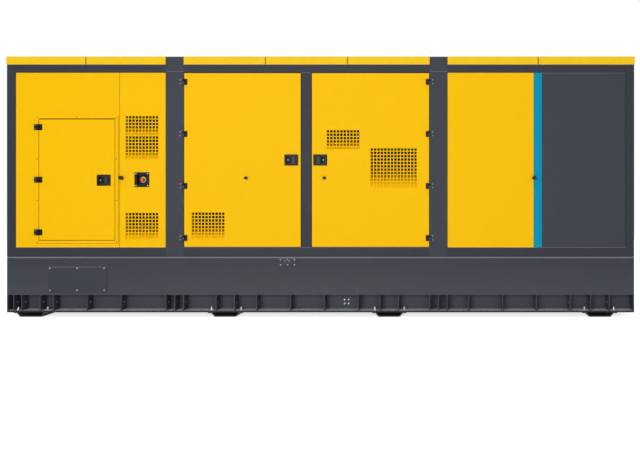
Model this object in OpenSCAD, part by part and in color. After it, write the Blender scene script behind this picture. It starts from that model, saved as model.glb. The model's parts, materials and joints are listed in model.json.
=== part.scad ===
/* [Overall] */
// Overall length, over the roof edges
length = 7000; // [6600:10:7600]
// Width over the side faces of the canopy
width = 2300; // [2100:10:2500]
// Overall height, from the ground to the roof
height = 2900; // [2800:10:3200]

/* [Base] */
// Height of the feet under the bottom flange
foot_h = 50; // [40:1:80]
// Thickness of the bottom flange
flange_t = 22; // [15:1:30]
// Height of the bottom flange and the recess above it
recess_top = 194; // [150:1:230]
// Height of the whole base above the feet
base_h = 620; // [560:5:680]
// Depth of the recess behind the side face
recess_d = 177; // [120:1:220]
// Thickness of the base's folded plate
base_t = 10; // [6:1:14]
// Inward width of the rail's top and bottom flanges
rail_flange_w = 300; // [240:5:340]
// Width of the rail's top return
rail_top_w = 110; // [100:1:160]
// Chamfer along the top outer edge of the base
base_chamfer = 13; // [6:1:20]
// Thickness of a stiffening rib in the recess
rib_t = 10; // [6:1:14]
// Hole through each rib
rib_hole_d = 30; // [16:1:50]
// Distance of the left end's foot from the end of the frame
foot_left_inset = 266; // [240:1:300]
// Distance of the right end's foot from the end of the frame
foot_right_inset = 382; // [340:1:420]
// Centre of the inner left foot
foot_inner_left = -1062; // [-1120:1:-1000]
// Centre of the inner right foot
foot_inner_right = 764; // [700:1:800]
// Spacing of the plain ribs
rib_pitch = 377; // [370:1:382]
// Place of the middle plain rib
rib_middle_x = 41; // [30:1:60]
// Distance of the nearest rib left of the left lifting column
rib_left_off = 599; // [590:1:610]
// Distance of the nearest rib right of the right lifting column
rib_right_off = 336; // [325:1:345]
// Distance of the extra rib from the left end of the frame
end_rib_inset = 74; // [60:1:120]
// Half the spacing of the pair of ribs over a foot
foot_rib_half = 103; // [80:1:115]
// Half the spacing of the outer pair of ribs under a lifting column
column_rib_half = 98; // [90:1:105]

/* [Feet] */
// Width of the foot where it meets the ground
foot_bottom_w = 234; // [180:1:260]
// Width of the foot's channel where it meets its brims
foot_top_w = 309; // [280:1:330]
// Width over the foot's brims
foot_brim_w = 382; // [350:1:400]
// Thickness of the foot's plate
foot_t = 10; // [6:1:14]

/* [Base fittings] */
// Thickness of the bolted cover plates
cover_t = 6; // [4:1:10]
// Width of the large cover plate
cover_w = 652; // [600:1:700]
// Height of the large cover plate
cover_plate_h = 290; // [260:1:320]
// Distance of the large cover plate from the left end of the frame
cover_inset = 465; // [400:1:520]
// Width of the fittings plate
fitting_w = 185; // [160:1:220]
// Height of the fittings plate
fitting_h = 89; // [70:1:95]
// Left edge of the fittings plate
fitting_x = -461; // [-560:1:-400]

/* [Canopy frame] */
// How far the roof stands out past the frame
roof_over = 6; // [2:1:20]
// Width and depth of a corner post
post_w = 100; // [80:1:120]
// Wall of the hollow posts and columns
post_t = 6; // [4:1:10]
// Depth of the rails and columns behind the face
rail_d = 100; // [90:1:120]
// Height of the sill rail
sill_h = 105; // [80:1:130]
// Height of the top rail
top_rail_h = 91; // [70:1:110]
// Height of the roof band
roof_h = 88; // [60:1:100]
// Thickness of the roof's insulated walls
roof_t = 30; // [20:1:40]
// Width of a lifting column
column_w = 200; // [160:2:220]
// Centre of the left lifting column
column_left_x = -1625; // [-1700:1:-1560]
// Centre of the right lifting column
column_right_x = 1314; // [1280:1:1400]
// Height of the lifting beam over the columns
lift_beam_h = 164; // [150:1:200]
// Centre of the post between the doors
mid_post_x = -159; // [-220:1:-80]
// Width of the post between the doors
mid_post_w = 110; // [80:1:130]
// Width of the strips that a door closes against
lip_w = 24; // [16:1:30]
// Thickness of those strips
lip_t = 4; // [3:0.5:6]
// Room between a closed door and those strips
lip_gap = 9; // [7:0.5:12]
// Radius of the threaded lifting hole
lift_hole_r = 24; // [16:1:30]
// Width of the lifting block across the machine
lift_block_w = 180; // [140:2:220]

/* [Panels] */
// Thickness of the insulated panels and doors
panel_t = 50; // [40:1:60]
// Thickness of a panel's steel skin
skin_t = 3; // [2:0.5:5]
// Gap around a fixed panel
panel_gap = 2; // [1:0.5:6]
// Width of the vent panel, gaps included
vent_panel_w = 514; // [500:1:560]
// How far the grilles and the emergency stop lie left of the vent panel's middle
vent_off = 8; // [0:1:20]
// Width of the yellow radiator panel, gaps included
radiator_panel_w = 959; // [940:1:980]
// Width of the blue stripe
stripe_w = 92; // [60:1:120]

/* [Grilles] */
// Height of the vent panel's upper grille above the sill
vent_high_rise = 1224; // [1200:1:1300]
// Height of the vent panel's lower grille above the sill
vent_low_rise = 238; // [200:1:280]
// Distance of the left door's grille from its hinged edge
left_grille_off = 267; // [240:1:320]
// Height of the left door's grille above the sill
left_grille_rise = 243; // [200:1:280]
// Distance of the right door's small grille from its free edge
small_grille_off = 347; // [330:1:380]
// Height of the right door's small grille above the sill
small_grille_rise = 1198; // [1150:1:1300]
// Distance of the right door's large grille from its hinged edge
large_grille_off = 393; // [360:1:420]
// Height of the right door's large grille above the sill
large_grille_rise = 884; // [850:1:920]
// Spacing of the punched holes
hole_pitch = 37.5; // [34:0.5:39]
// Width of a punched hole
hole_w = 27; // [20:0.5:30]
// Margin of the window behind a grille
grille_margin = 8; // [4:1:10]
// Thickness of a scoop's sheet
scoop_t = 4; // [2:1:6]
// Depth of a scoop behind the face at its open top
scoop_d = 160; // [130:1:170]

/* [Louvres] */
// Width of the stiles beside the louvres of the end walls
end_stile_w = 90; // [60:1:140]
// Spacing of the louvre blades
louvre_pitch = 40; // [34:1:60]
// Thickness of a louvre blade
louvre_t = 4; // [2:1:6]
// Rise of a blade from its outer to its inner edge
louvre_rise = 26; // [10:1:30]

/* [Doors] */
// Gap along the hinged edge of a big door
door_gap = 6; // [5:0.5:10]
// Gap along the free edge of a big door
lock_gap = 8; // [8:0.5:12]
// Gap over and under a big door
door_gap_z = 6; // [5:0.5:10]
// Width of the control door
control_w = 841; // [820:1:845]
// Height of the control door
control_h = 1344; // [1300:1:1400]
// Distance of the control door from the vent panel
control_inset = 53; // [44:1:60]
// Distance of the control door above the sill
control_rise = 81; // [76:1:100]
// Gap over the control door
control_top_gap = 10; // [6:0.5:12]
// Width of the frame bolted around the control door
control_frame_w = 32; // [28:1:34]
// Thickness of that frame
control_frame_t = 6; // [4:1:8]

/* [Hinges] */
// Height of a hinge
hinge_h = 66; // [60:1:90]
// Width of a hinge leaf from the hinge line
hinge_leaf_w = 38; // [34:1:44]
// Width of a hinge's leaf on the frame
frame_leaf_w = 52; // [46:1:60]
// Thickness of a hinge leaf
hinge_leaf_t = 9; // [7:0.5:9]
// Distance of the hinge line in front of the face
hinge_off = 20; // [20:0.5:24]
// Radius of the hinge barrel
barrel_r = 10; // [8:0.5:10]
// Radius of the hinge pin
pin_r = 5; // [4:0.5:6]
// Clearance around the hinge pin
pin_clear = 0.1; // [0.05:0.05:0.2]
// Gap between the two barrels of a hinge
barrel_gap = 1; // [0.5:0.5:2]
// Number of hinges on a big door
door_hinge_count = 4; // [3:1:5]
// Distance of a big door's end hinges from its ends
door_hinge_end = 98; // [80:1:130]
// Number of hinges on the control door
control_hinge_count = 3; // [2:1:4]
// Distance of the control door's end hinges from its ends
control_hinge_end = 87; // [70:1:110]

/* [Latches] */
// Width of a latch plate
latch_w = 154; // [150:1:170]
// Height of a latch plate
latch_h = 124; // [110:1:140]
// Corner radius of the latch and emergency stop plates
corner_r = 9; // [5:0.5:12]
// How far a latch plate stands proud
latch_t = 6; // [4:1:8]
// Width of the well in a latch
well_w = 124; // [118:1:130]
// Height of the well in a latch
well_h = 86; // [80:1:90]
// Depth of the well behind the face
well_d = 34; // [26:1:36]
// Wall of the well
well_t = 3; // [2:0.5:4]
// Width of the paddle
paddle_w = 68; // [60:1:70]
// Radius of the lock cylinder
lock_r = 10; // [8:1:12]
// Distance of the lock from the middle of the latch
lock_off = 36; // [34:1:40]
// Thickness of the paddle
paddle_t = 5; // [4:0.5:6]
// Radius of the paddle's barrel
paddle_r = 5; // [4:0.5:6]
// Clearance over and under the paddle
paddle_clear = 0.3; // [0.2:0.1:1]
// Height of the big doors' latches above the sill
latch_rise = 973; // [900:1:1040]
// Distance of the left door's latch from its free edge
left_latch_inset = 104; // [90:1:140]
// Distance of the right door's latch from its free edge
right_latch_inset = 92; // [90:1:140]
// Distance of the control door's latch from its free edge
control_latch_inset = 121; // [110:1:140]
// Height of the control door's latch above the sill
control_latch_rise = 748; // [700:1:800]

/* [Door stops] */
// Distance of the left door's pin from its hinge line
left_pin_reach = 693; // [660:1:700]
// Distance of the right door's pin from its hinge line
right_pin_reach = 1168; // [1140:1:1172]
// Height of the pins and buffers above the sill
stop_rise = 773; // [760:1:780]
// Radius of a door pin
door_pin_r = 17; // [12:1:22]
// Length of a door pin
door_pin_l = 38; // [30:1:40]
// Radius of a buffer
buffer_r = 22; // [16:1:26]
// Length of a buffer
buffer_l = 54; // [40:1:55]

/* [Emergency stop] */
// Height of the emergency stop above the sill
e_stop_rise = 754; // [740:1:780]
// Width of its housing plate
e_stop_w = 164; // [150:1:180]
// Width of its recess
e_stop_well = 105; // [90:1:110]
// Depth of its recess
e_stop_d = 50; // [46:1:56]
// Thickness of its housing plate
e_stop_t = 6; // [4:1:8]
// Radius of its button
button_r = 21; // [18:1:24]
// Radius of the button's stem
stem_r = 11; // [8:1:14]
// Height of the button's head
button_h = 16; // [12:1:20]
// How far the button stands in front of its housing plate
button_proud = 8; // [0:1:10]
// Travel of the button
button_travel = 5; // [3:1:6]

/* [Machine] */
// Depth of the control cabinet behind the face
cabinet_d = 340; // [300:5:400]
// Margin of the mounting board inside the control door
board_margin = 60; // [40:1:80]
// Thickness of the mounting board
board_t = 60; // [40:1:80]
// Width of the controller
controller_w = 340; // [280:5:400]
// Height of the controller
controller_h = 240; // [200:5:280]
// Width and height of the breaker's cover
breaker_w = 400; // [340:5:440]
// Spacing of the buttons
button_pitch = 90; // [80:1:100]
// Height of the crank line above the deck
crank_h = 620; // [600:5:660]
// Length of the engine's block
block_l = 2100; // [1900:10:2160]
// Cylinders in each bank
cylinders = 6; // [4:1:8]
// Lean of each bank of cylinders
bank_angle = 35; // [33:0.5:38]
// Width of a bank
bank_w = 300; // [280:2:320]
// Height of a bank's top above the crank line
bank_h = 600; // [580:5:620]
// Width of a cylinder head
head_w = 330; // [320:2:340]
// Height of a cylinder head
head_h = 100; // [90:2:110]
// Height of a rocker cover
cover_h = 70; // [50:2:80]
// Radius of the flywheel housing
bell_r = 460; // [430:5:480]
// Length of the flywheel housing
bell_l = 200; // [160:5:240]
// Distance of a manifold from its cylinder heads
manifold_off = 100; // [90:1:110]
// Radius of an air manifold
air_r = 85; // [70:1:90]
// Radius of an exhaust manifold
exhaust_r = 58; // [45:1:65]
// Radius of a turbocharger
turbo_r = 110; // [90:2:120]
// Height of the air filters above the crank line
filter_rise = 960; // [920:5:1000]
// Length of the crank pulley's housing
nose_l = 110; // [90:5:130]
// Radius of an air filter
filter_r = 170; // [140:5:180]
// Length of an air filter
filter_l = 620; // [500:10:660]
// Radius of the alternator
alternator_r = 480; // [440:5:500]
// Length of the alternator
alternator_l = 1350; // [1250:10:1450]
// Length of the terminal box
terminal_l = 700; // [600:10:800]
// Width of the terminal box
terminal_w = 600; // [500:10:700]
// Height of the terminal box's top above the crank line
terminal_h = 850; // [780:10:900]
// Distance of a bed rail from the middle
bed_y = 300; // [280:5:320]
// Height of the machine's bed rails
bed_h = 190; // [170:5:200]
// Width of a bed rail
bed_w = 130; // [110:5:140]
// Radius of the cooling fan
fan_r = 740; // [650:5:760]
// Height of the fan's axis above the deck
fan_h = 900; // [860:5:940]
// Blades on the fan
fan_blades = 8; // [6:1:10]
// Distance of the radiator behind the right lifting column's middle
radiator_off = 186; // [170:1:220]
// Thickness of the radiator
radiator_d = 200; // [150:5:260]
// Gap between the radiator and the exhaust pipe
radiator_gap = 31; // [25:1:60]
// Radius of the silencer
silencer_r = 270; // [240:5:280]
// Length of the silencer
silencer_l = 1300; // [1100:10:1400]
// Radius of the exhaust pipe
pipe_r = 95; // [70:5:100]

/* [Hidden] */
$fn = 48;

yellow = [0.99, 0.78, 0.07];
slate = [0.26, 0.27, 0.31];
black = [0.08, 0.08, 0.09];
eps = 0.01;

face = width / 2;
frame_x = length / 2 - roof_over;
base_z0 = foot_h;
base_z1 = foot_h + base_h;
skirt_z0 = foot_h + recess_top;
sill_z1 = base_z1 + sill_h;
roof_z0 = height - roof_h;
top_rail_z0 = roof_z0 - top_rail_h;
beam_z0 = height - lift_beam_h;

column_x = [column_left_x, column_right_x];
column_half = column_w / 2;
bay_left = [-frame_x + post_w, column_left_x - column_half];
bay_middle = [column_left_x + column_half, column_right_x - column_half];
bay_right = [column_right_x + column_half, frame_x - post_w];
bay_seam_x = bay_left[1] - vent_panel_w;
radiator_end_x = bay_right[0] + radiator_panel_w;

left_door_x = [bay_middle[0] + door_gap, mid_post_x - mid_post_w / 2 - lock_gap];
right_door_x = [mid_post_x + mid_post_w / 2 + lock_gap, bay_middle[1] - door_gap];
door_z = [sill_z1 + door_gap_z, top_rail_z0 - door_gap_z];
control_x = [bay_seam_x - control_inset - control_w, bay_seam_x - control_inset];
control_z = [sill_z1 + control_rise, sill_z1 + control_rise + control_h];
control_hole_x = [control_x[0] - door_gap, control_x[1] + door_gap];
control_hole_z = [control_z[0] - door_gap_z, control_z[1] + control_top_gap];
left_hinge_x = bay_middle[0] + door_gap / 2;
right_hinge_x = bay_middle[1] - door_gap / 2;
control_hinge_x = control_x[0] - door_gap / 2;
door_hinge_z = spread(door_z, door_hinge_end, door_hinge_count);
control_hinge_z = spread(control_z, control_hinge_end, control_hinge_count);

latch_z = sill_z1 + latch_rise;
left_latch_x = left_door_x[1] - left_latch_inset;
right_latch_x = right_door_x[0] + right_latch_inset;
control_latch_x = control_x[1] - control_latch_inset;
control_latch_z = sill_z1 + control_latch_rise;
stop_z = sill_z1 + stop_rise;
e_stop_z = sill_z1 + e_stop_rise;
vent_x = bay_left[1] - vent_panel_w / 2 - vent_off;
e_stop_x = vent_x;

foot_x = [foot_left_inset - frame_x, foot_inner_left, foot_inner_right, frame_x - foot_right_inset];
rib_x = concat(
    [end_rib_inset - frame_x],
    [for (i = [0:2]) column_left_x - rib_left_off - i * rib_pitch],
    [for (i = [-2:1]) rib_middle_x + i * rib_pitch],
    [for (i = [0:3]) column_right_x + rib_right_off + i * rib_pitch]
);

// Each grille: centre x, centre z, columns, and the rows of each of its stacked scoops
vent_grilles = [
    [vent_x, sill_z1 + vent_high_rise, 10, [7, 6]],
    [vent_x, sill_z1 + vent_low_rise, 10, [8]]
];
left_grilles = [[left_door_x[0] + left_grille_off, sill_z1 + left_grille_rise, 10, [8]]];
right_grilles = [
    [right_door_x[0] + small_grille_off, sill_z1 + small_grille_rise, 10, [6]],
    [right_door_x[1] - large_grille_off, sill_z1 + large_grille_rise, 14, [12]]
];

// Louvre windows in each leaf of an end wall, from sill to head
inlet_louvres = [[sill_z1 + 125, sill_z1 + 885], [sill_z1 + 1005, top_rail_z0 - 141]];
outlet_louvres = [[sill_z1 + 95, sill_z1 + 905], [sill_z1 + 1005, top_rail_z0 - 101]];

deck_z = base_z1;
cover_x = cover_inset - frame_x;
cover_z = skirt_z0 + 24;
fitting_z = base_z1 - base_chamfer - fitting_h - 3;
crank_z = deck_z + crank_h;
half_block = block_l / 2;
head_pitch = block_l / cylinders;
port_z = bank_h + head_h / 2;
turbo_x = -half_block - 80;
turbo_y = (head_w / 2 + manifold_off) * cos(bank_angle) + port_z * sin(bank_angle);
turbo_z = crank_z + port_z * cos(bank_angle) - (head_w / 2 + manifold_off) * sin(bank_angle);
filter_z = crank_z + filter_rise;
alternator_x = -half_block - bell_l - alternator_l;
fan_z = deck_z + fan_h;
radiator_x = column_right_x + radiator_off;
fan_x = radiator_x - 120;
silencer_x = column_right_x + 600;
silencer_z = top_rail_z0 - 30 - silencer_r;
exhaust_z = silencer_z + silencer_r - pipe_r - 30;

function spread(z, end, n) = [for (i = [0:n - 1]) z[0] + end + i * (z[1] - z[0] - 2 * end) / (n - 1)];
function sum(v, i = 0) = i < len(v) ? v[i] + sum(v, i + 1) : 0;
function span(n) = (n - 1) * hole_pitch + hole_w;
function half_height(g) = span(sum(g[3])) / 2;

// ---- shared shapes

// Box between two corners
module block(p, q) {
    translate(p) cube(q - p);
}

module rect(x, z) {
    translate([x[0], z[0]]) square([x[1] - x[0], z[1] - z[0]]);
}

// Rounded plate facing the front, its back at height 0
module plate(w, h, r, t) {
    rotate([90, 0, 0]) {
        translate([-w / 2 + r, -h / 2, 0]) cube([w - 2 * r, h, t]);
        translate([-w / 2, -h / 2 + r, 0]) cube([w, h - 2 * r, t]);
        for (x = [r - w / 2, w / 2 - r], z = [r - h / 2, h / 2 - r]) {
            translate([x, z, 0]) cylinder(r = r, h = t);
        }
    }
}

// Stands a flat outline up behind the front face, from depth a to depth b
module standing(a, b) {
    translate([0, -face + b, 0]) rotate([90, 0, 0]) linear_extrude(b - a) children();
}

module both_sides() {
    children();
    mirror([0, 1, 0]) children();
}

// Lays a cross-section, drawn as inward distance and height, along the length
module along(x) {
    translate([x[0], -face, 0]) rotate([90, 0, 90]) linear_extrude(x[1] - x[0]) children();
}

module tube(w, d, h) {
    linear_extrude(h) difference() {
        square([w, d]);
        translate([post_t, post_t]) square([w - 2 * post_t, d - 2 * post_t]);
    }
}

// ---- base

module rail_profile() {
    t = base_t;
    polygon([
        [0, skirt_z0], [recess_d, skirt_z0], [recess_d, base_z0 + flange_t], [0, base_z0 + flange_t],
        [0, base_z0], [rail_flange_w, base_z0], [rail_flange_w, base_z0 + flange_t],
        [recess_d + t, base_z0 + flange_t], [recess_d + t, skirt_z0 + t], [t, skirt_z0 + t],
        [t, base_z1 - base_chamfer - t], [base_chamfer + t / 2, base_z1 - t],
        [rail_top_w, base_z1 - t], [rail_top_w, base_z1], [base_chamfer, base_z1], [0, base_z1 - base_chamfer]
    ]);
}

module rib(x) {
    z0 = base_z0 + flange_t;
    along([x - rib_t / 2, x + rib_t / 2]) difference() {
        translate([0, z0]) square([recess_d, skirt_z0 - z0]);
        translate([recess_d / 2, (z0 + skirt_z0) / 2]) circle(d = rib_hole_d, $fn = 12);
    }
}

module base_rail() {
    color(slate) {
        along([-frame_x + base_t, frame_x - base_t]) rail_profile();
        for (x = rib_x) rib(x);
        for (x = foot_x, s = [-1, 1]) rib(x + s * foot_rib_half);
        for (x = column_x, s = [-1, 0, 1]) rib(x + s * column_rib_half);
    }
}

module base_rail_front() {
    base_rail();
}

module base_rail_rear() {
    mirror([0, 1, 0]) base_rail();
}

module base_end_beams() {
    color(slate) for (s = [-1, 1]) scale([s, 1, 1]) {
        translate([frame_x - base_t, 0, 0]) rotate([90, 0, 90]) linear_extrude(base_t) polygon([
            [-face, base_z0], [face, base_z0], [face, base_z1 - base_chamfer], [face - base_chamfer, base_z1],
            [base_chamfer - face, base_z1], [-face, base_z1 - base_chamfer]
        ]);
        inner = face - rail_flange_w;
        block([frame_x - rail_flange_w, -inner, base_z0], [frame_x - base_t, inner, base_z0 + flange_t]);
    }
}

module fuel_tank() {
    tank_half = face - recess_d - base_t;
    tank_x = frame_x - base_t;
    deck_half = face - rail_top_w;
    color(slate) {
        block([-tank_x, -tank_half, skirt_z0], [tank_x, tank_half, deck_z - base_t + eps]);
        block([-tank_x, -deck_half, deck_z - base_t], [tank_x, deck_half, deck_z]);
    }
}

module foot_profile() {
    b = foot_bottom_w / 2;
    m = foot_top_w / 2;
    o = foot_brim_w / 2;
    t = foot_t;
    polygon([
        [-o, foot_h], [-o, foot_h - t], [-m, foot_h - t], [-b, 0], [b, 0], [m, foot_h - t], [o, foot_h - t],
        [o, foot_h], [m - t / 2, foot_h], [b - t / 2, t], [t / 2 - b, t], [t / 2 - m, foot_h]
    ]);
}

module skid_feet() {
    color(slate) for (x = foot_x) {
        translate([x, face, 0]) rotate([90, 0, 0]) linear_extrude(width) foot_profile();
    }
}

module tank_covers() {
    color(slate) {
        standing(-cover_t, 0) rect([cover_x, cover_x + cover_w], [cover_z, cover_z + cover_plate_h]);
        standing(-cover_t, 0) rect([fitting_x, fitting_x + fitting_w], [fitting_z, fitting_z + fitting_h]);
        for (x = [fitting_x + fitting_w * 0.36, fitting_x + fitting_w * 0.62]) {
            translate([x, -face - cover_t, fitting_z + fitting_h * 0.64]) {
                rotate([90, 0, 0]) cylinder(r = 12, h = 14);
            }
        }
    }
}

// ---- canopy frame

module corner_posts() {
    color(slate) for (sx = [-1, 1], sy = [-1, 1]) scale([sx, sy, 1]) {
        translate([frame_x - post_w, face - post_w, base_z1]) tube(post_w, post_w, roof_z0 - base_z1);
    }
}

module side_rails() {
    color(slate) both_sides() for (x = [bay_left, bay_middle, bay_right]) {
        block([x[0], -face, base_z1], [x[1], -face + rail_d, sill_z1]);
        block([x[0], -face, top_rail_z0], [x[1], -face + rail_d, roof_z0]);
    }
}

module end_rails() {
    color(slate) for (s = [-1, 1], z = [[base_z1, sill_z1], [top_rail_z0, roof_z0]]) scale([s, 1, 1]) {
        block([frame_x - rail_d, -face + post_w, z[0]], [frame_x, face - post_w, z[1]]);
    }
}

module lifting_columns() {
    color(slate) for (x = column_x) both_sides() {
        translate([x - column_half, -face, base_z1]) tube(column_w, rail_d, beam_z0 - base_z1);
    }
}

module lifting_beams() {
    w = face - lift_block_w;
    color(slate) for (x = column_x) block([x - column_half, -w, beam_z0], [x + column_half, w, height]);
}

// Threaded block at each end of a lifting beam, over its column
module lifting_blocks() {
    color(slate) for (x = column_x) both_sides() difference() {
        block([x - column_half, -face, beam_z0], [x + column_half, lift_block_w - face, height]);
        translate([x, lift_block_w / 2 - face, beam_z0 - 1]) cylinder(r = lift_hole_r, h = lift_beam_h + 2);
    }
}

module door_posts() {
    color(slate) both_sides() {
        translate([mid_post_x - mid_post_w / 2, -face, sill_z1]) {
            tube(mid_post_w, rail_d, top_rail_z0 - sill_z1);
        }
    }
}

// Vertical strips that each big door closes against
module door_lip_sides() {
    color(slate) both_sides() for (x = [
        bay_middle[0], mid_post_x - mid_post_w / 2 - lip_w, mid_post_x + mid_post_w / 2, bay_middle[1] - lip_w
    ]) {
        standing(panel_t + lip_gap, panel_t + lip_gap + lip_t) rect([x, x + lip_w], [sill_z1, top_rail_z0]);
    }
}

// Horizontal strips that each big door closes against
module door_lip_rails() {
    left = [bay_middle[0] + lip_w, mid_post_x - mid_post_w / 2 - lip_w];
    right = [mid_post_x + mid_post_w / 2 + lip_w, bay_middle[1] - lip_w];
    color(slate) both_sides() for (x = [left, right], z = [sill_z1, top_rail_z0 - lip_w]) {
        standing(panel_t + lip_gap, panel_t + lip_gap + lip_t) rect(x, [z, z + lip_w]);
    }
}

module roof_pan(x) {
    o = face + roof_over;
    g = panel_gap / 2;
    difference() {
        block([x[0] + g, -o, roof_z0], [x[1] - g, o, height]);
        block([x[0] + g + roof_t, roof_t - o, roof_z0 - 1], [x[1] - g - roof_t, o - roof_t, height - roof_t]);
    }
}

module roof_panels() {
    edge = length / 2;
    pan = (bay_middle[1] - bay_middle[0]) / 3;
    left_seam = (-edge + bay_left[1]) / 2;
    right_seam = bay_right[0] + 0.484 * (edge - bay_right[0]);
    seams = [
        [-edge - panel_gap / 2, left_seam], [left_seam, bay_left[1]],
        for (i = [0:2]) [bay_middle[0] + i * pan, bay_middle[0] + (i + 1) * pan],
        [bay_right[0], right_seam], [right_seam, edge + panel_gap / 2]
    ];
    color(yellow) for (x = seams) roof_pan(x);
}

// ---- panels

module punched(g) {
    rows = sum(g[3]);
    translate([g[0] - span(g[2]) / 2, g[1] - half_height(g)]) {
        for (i = [0:g[2] - 1], j = [0:rows - 1]) {
            translate([i * hole_pitch, j * hole_pitch]) square(hole_w);
        }
    }
}

module window(g) {
    w = span(g[2]) / 2 + grille_margin;
    h = half_height(g) + grille_margin;
    rect([g[0] - w, g[0] + w], [g[1] - h, g[1] + h]);
}

// Insulated leaf with its punched skin; children cut through the whole leaf
module leaf(x, z, grilles = [], proud = 0) {
    standing(-proud, skin_t - proud) difference() {
        rect(x, z);
        for (g = grilles) punched(g);
        children();
    }
    standing(skin_t - proud, panel_t - proud) difference() {
        rect(x, z);
        for (g = grilles) window(g);
        children();
    }
}

module panel(x, grilles = []) {
    leaf([x[0] + panel_gap, x[1] - panel_gap], [sill_z1, top_rail_z0 - panel_gap], grilles) children();
}

// Sloped pockets that carry air up behind a grille, stacked one over another
module scoop(g) {
    x0 = g[0] - span(g[2]) / 2 - grille_margin / 2;
    w = span(g[2]) + grille_margin;
    starts = [for (i = [0:len(g[3]) - 1]) sum([for (k = [0:i]) k < i ? g[3][k] : 0])];
    for (i = [0:len(g[3]) - 1]) {
        z0 = g[1] - half_height(g) + starts[i] * hole_pitch - (hole_pitch - hole_w) / 2;
        h = g[3][i] * hole_pitch;
        slope = [[skin_t, z0], [skin_t + scoop_t, z0], [scoop_d, z0 + h - scoop_t], [scoop_d, z0 + h]];
        sheet = concat(slope, [[scoop_d - scoop_t, z0 + h], [skin_t, z0 + scoop_t * 1.5]]);
        cheek = concat(slope, [[skin_t, z0 + h]]);
        along([x0, x0 + w]) polygon(sheet);
        for (x = [x0, x0 + w - scoop_t]) along([x, x + scoop_t]) polygon(cheek);
    }
}

module control_bay_panel() {
    color(yellow) panel([bay_left[0], bay_seam_x]) rect(control_hole_x, control_hole_z);
}

module control_frame_sides() {
    z = [control_hole_z[0] - control_frame_w, control_hole_z[1] + control_frame_w];
    color(yellow) {
        standing(-control_frame_t, 0) rect([control_hole_x[0] - control_frame_w, control_hole_x[0]], z);
        standing(-control_frame_t, 0) rect([control_hole_x[1], control_hole_x[1] + control_frame_w], z);
    }
}

module control_frame_rails() {
    z = control_hole_z;
    color(yellow) {
        standing(-control_frame_t, 0) rect(control_hole_x, [z[0] - control_frame_w, z[0]]);
        standing(-control_frame_t, 0) rect(control_hole_x, [z[1], z[1] + control_frame_w]);
    }
}

module vent_panel_front() {
    h = e_stop_well / 2 + well_t + 1;
    color(yellow) panel([bay_seam_x, bay_left[1]], vent_grilles) {
        rect([e_stop_x - h, e_stop_x + h], [e_stop_z - h, e_stop_z + h]);
    }
}

module radiator_panel_front() {
    color(yellow) panel([bay_right[0], radiator_end_x + panel_gap]);
}

module stripe_panels() {
    color("steelblue") both_sides() panel([radiator_end_x, radiator_end_x + stripe_w + panel_gap]);
}

module outlet_panels() {
    color(slate) both_sides() panel([radiator_end_x + stripe_w, bay_right[1]]);
}

module rear_panels() {
    color(yellow) mirror([0, 1, 0]) {
        panel([bay_left[0], bay_seam_x]);
        panel([bay_seam_x, bay_left[1]], vent_grilles);
        panel([bay_right[0], radiator_end_x + panel_gap]);
    }
}

// One leaf of an end wall: windows with sloping blades between stiles
module end_leaf(y, windows) {
    stile = [y[0] + end_stile_w, y[1] - end_stile_w];
    rotate([0, 0, 90]) translate([0, face - frame_x, 0]) {
        standing(0, panel_t) difference() {
            rect(y, [sill_z1, top_rail_z0 - panel_gap]);
            for (z = windows) rect(stile, z);
        }
        for (z = windows, h = [z[0] + louvre_pitch / 2:louvre_pitch:z[1] - louvre_pitch / 2]) {
            along([stile[0] - eps, stile[1] + eps]) polygon([
                [2, h], [2, h - louvre_t],
                [panel_t - 2, h + louvre_rise - louvre_t], [panel_t - 2, h + louvre_rise]
            ]);
        }
    }
}

module end_wall(windows) {
    half = face - post_w;
    end_leaf([-half + panel_gap, -panel_gap / 2], windows);
    end_leaf([panel_gap / 2, half - panel_gap], windows);
}

module outlet_end_wall() {
    color(slate) end_wall(outlet_louvres);
}

module inlet_end_wall() {
    color(yellow) mirror([1, 0, 0]) end_wall(inlet_louvres);
}

module vent_scoops() {
    color(yellow) {
        for (g = vent_grilles) scoop(g);
        mirror([0, 1, 0]) for (g = concat(vent_grilles, left_grilles, right_grilles)) scoop(g);
    }
}

// ---- hinges, latches and stops

// One leaf of a hinge on the line x; side says where the leaf lies, and up which barrel it carries
module hinge_leaf(x, z, side, up, proud = 0) {
    leaf_w = up ? hinge_leaf_w : frame_leaf_w;
    translate([x, -face - proud - hinge_off, z]) scale([side, 1, 1]) {
        z0 = up ? barrel_gap / 2 : -hinge_h / 2;
        z1 = up ? hinge_h / 2 : -barrel_gap / 2;
        difference() {
            union() {
                translate([door_gap / 2, hinge_off - hinge_leaf_t, -hinge_h / 2]) {
                    cube([leaf_w - door_gap / 2, hinge_leaf_t, hinge_h]);
                }
                block([0, 0, z0], [barrel_r + 2, hinge_off - hinge_leaf_t + eps, z1]);
                translate([0, 0, z0]) cylinder(r = barrel_r, h = z1 - z0);
            }
            if (up) translate([0, 0, -hinge_h]) cylinder(r = pin_r + pin_clear, h = 2 * hinge_h);
        }
        if (!up) translate([0, 0, z1 - 1]) cylinder(r = pin_r, h = hinge_h / 2 - 1);
    }
}

module latch_window(x, z) {
    w = well_w / 2 + well_t + 1;
    h = well_h / 2 + well_t + 1;
    rect([x - w, x + w], [z - h, z + h]);
}

// Latch plate with its well and lock; the lock lies on the side given
module latch(x, z, side, proud = 0) {
    w = well_w / 2;
    h = well_h / 2;
    translate([x, -face - proud, z]) scale([side, 1, 1]) {
        difference() {
            union() {
                plate(latch_w, latch_h, corner_r, latch_t);
                block([-w - well_t, -1, -h - well_t], [w + well_t, well_d + well_t, h + well_t]);
            }
            block([-w, -latch_t - 1, -h], [w, well_d, h]);
        }
        translate([lock_off, well_d + eps, 0]) rotate([90, 0, 0]) {
            cylinder(r = lock_r, h = well_d + latch_t / 2);
        }
    }
}

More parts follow.
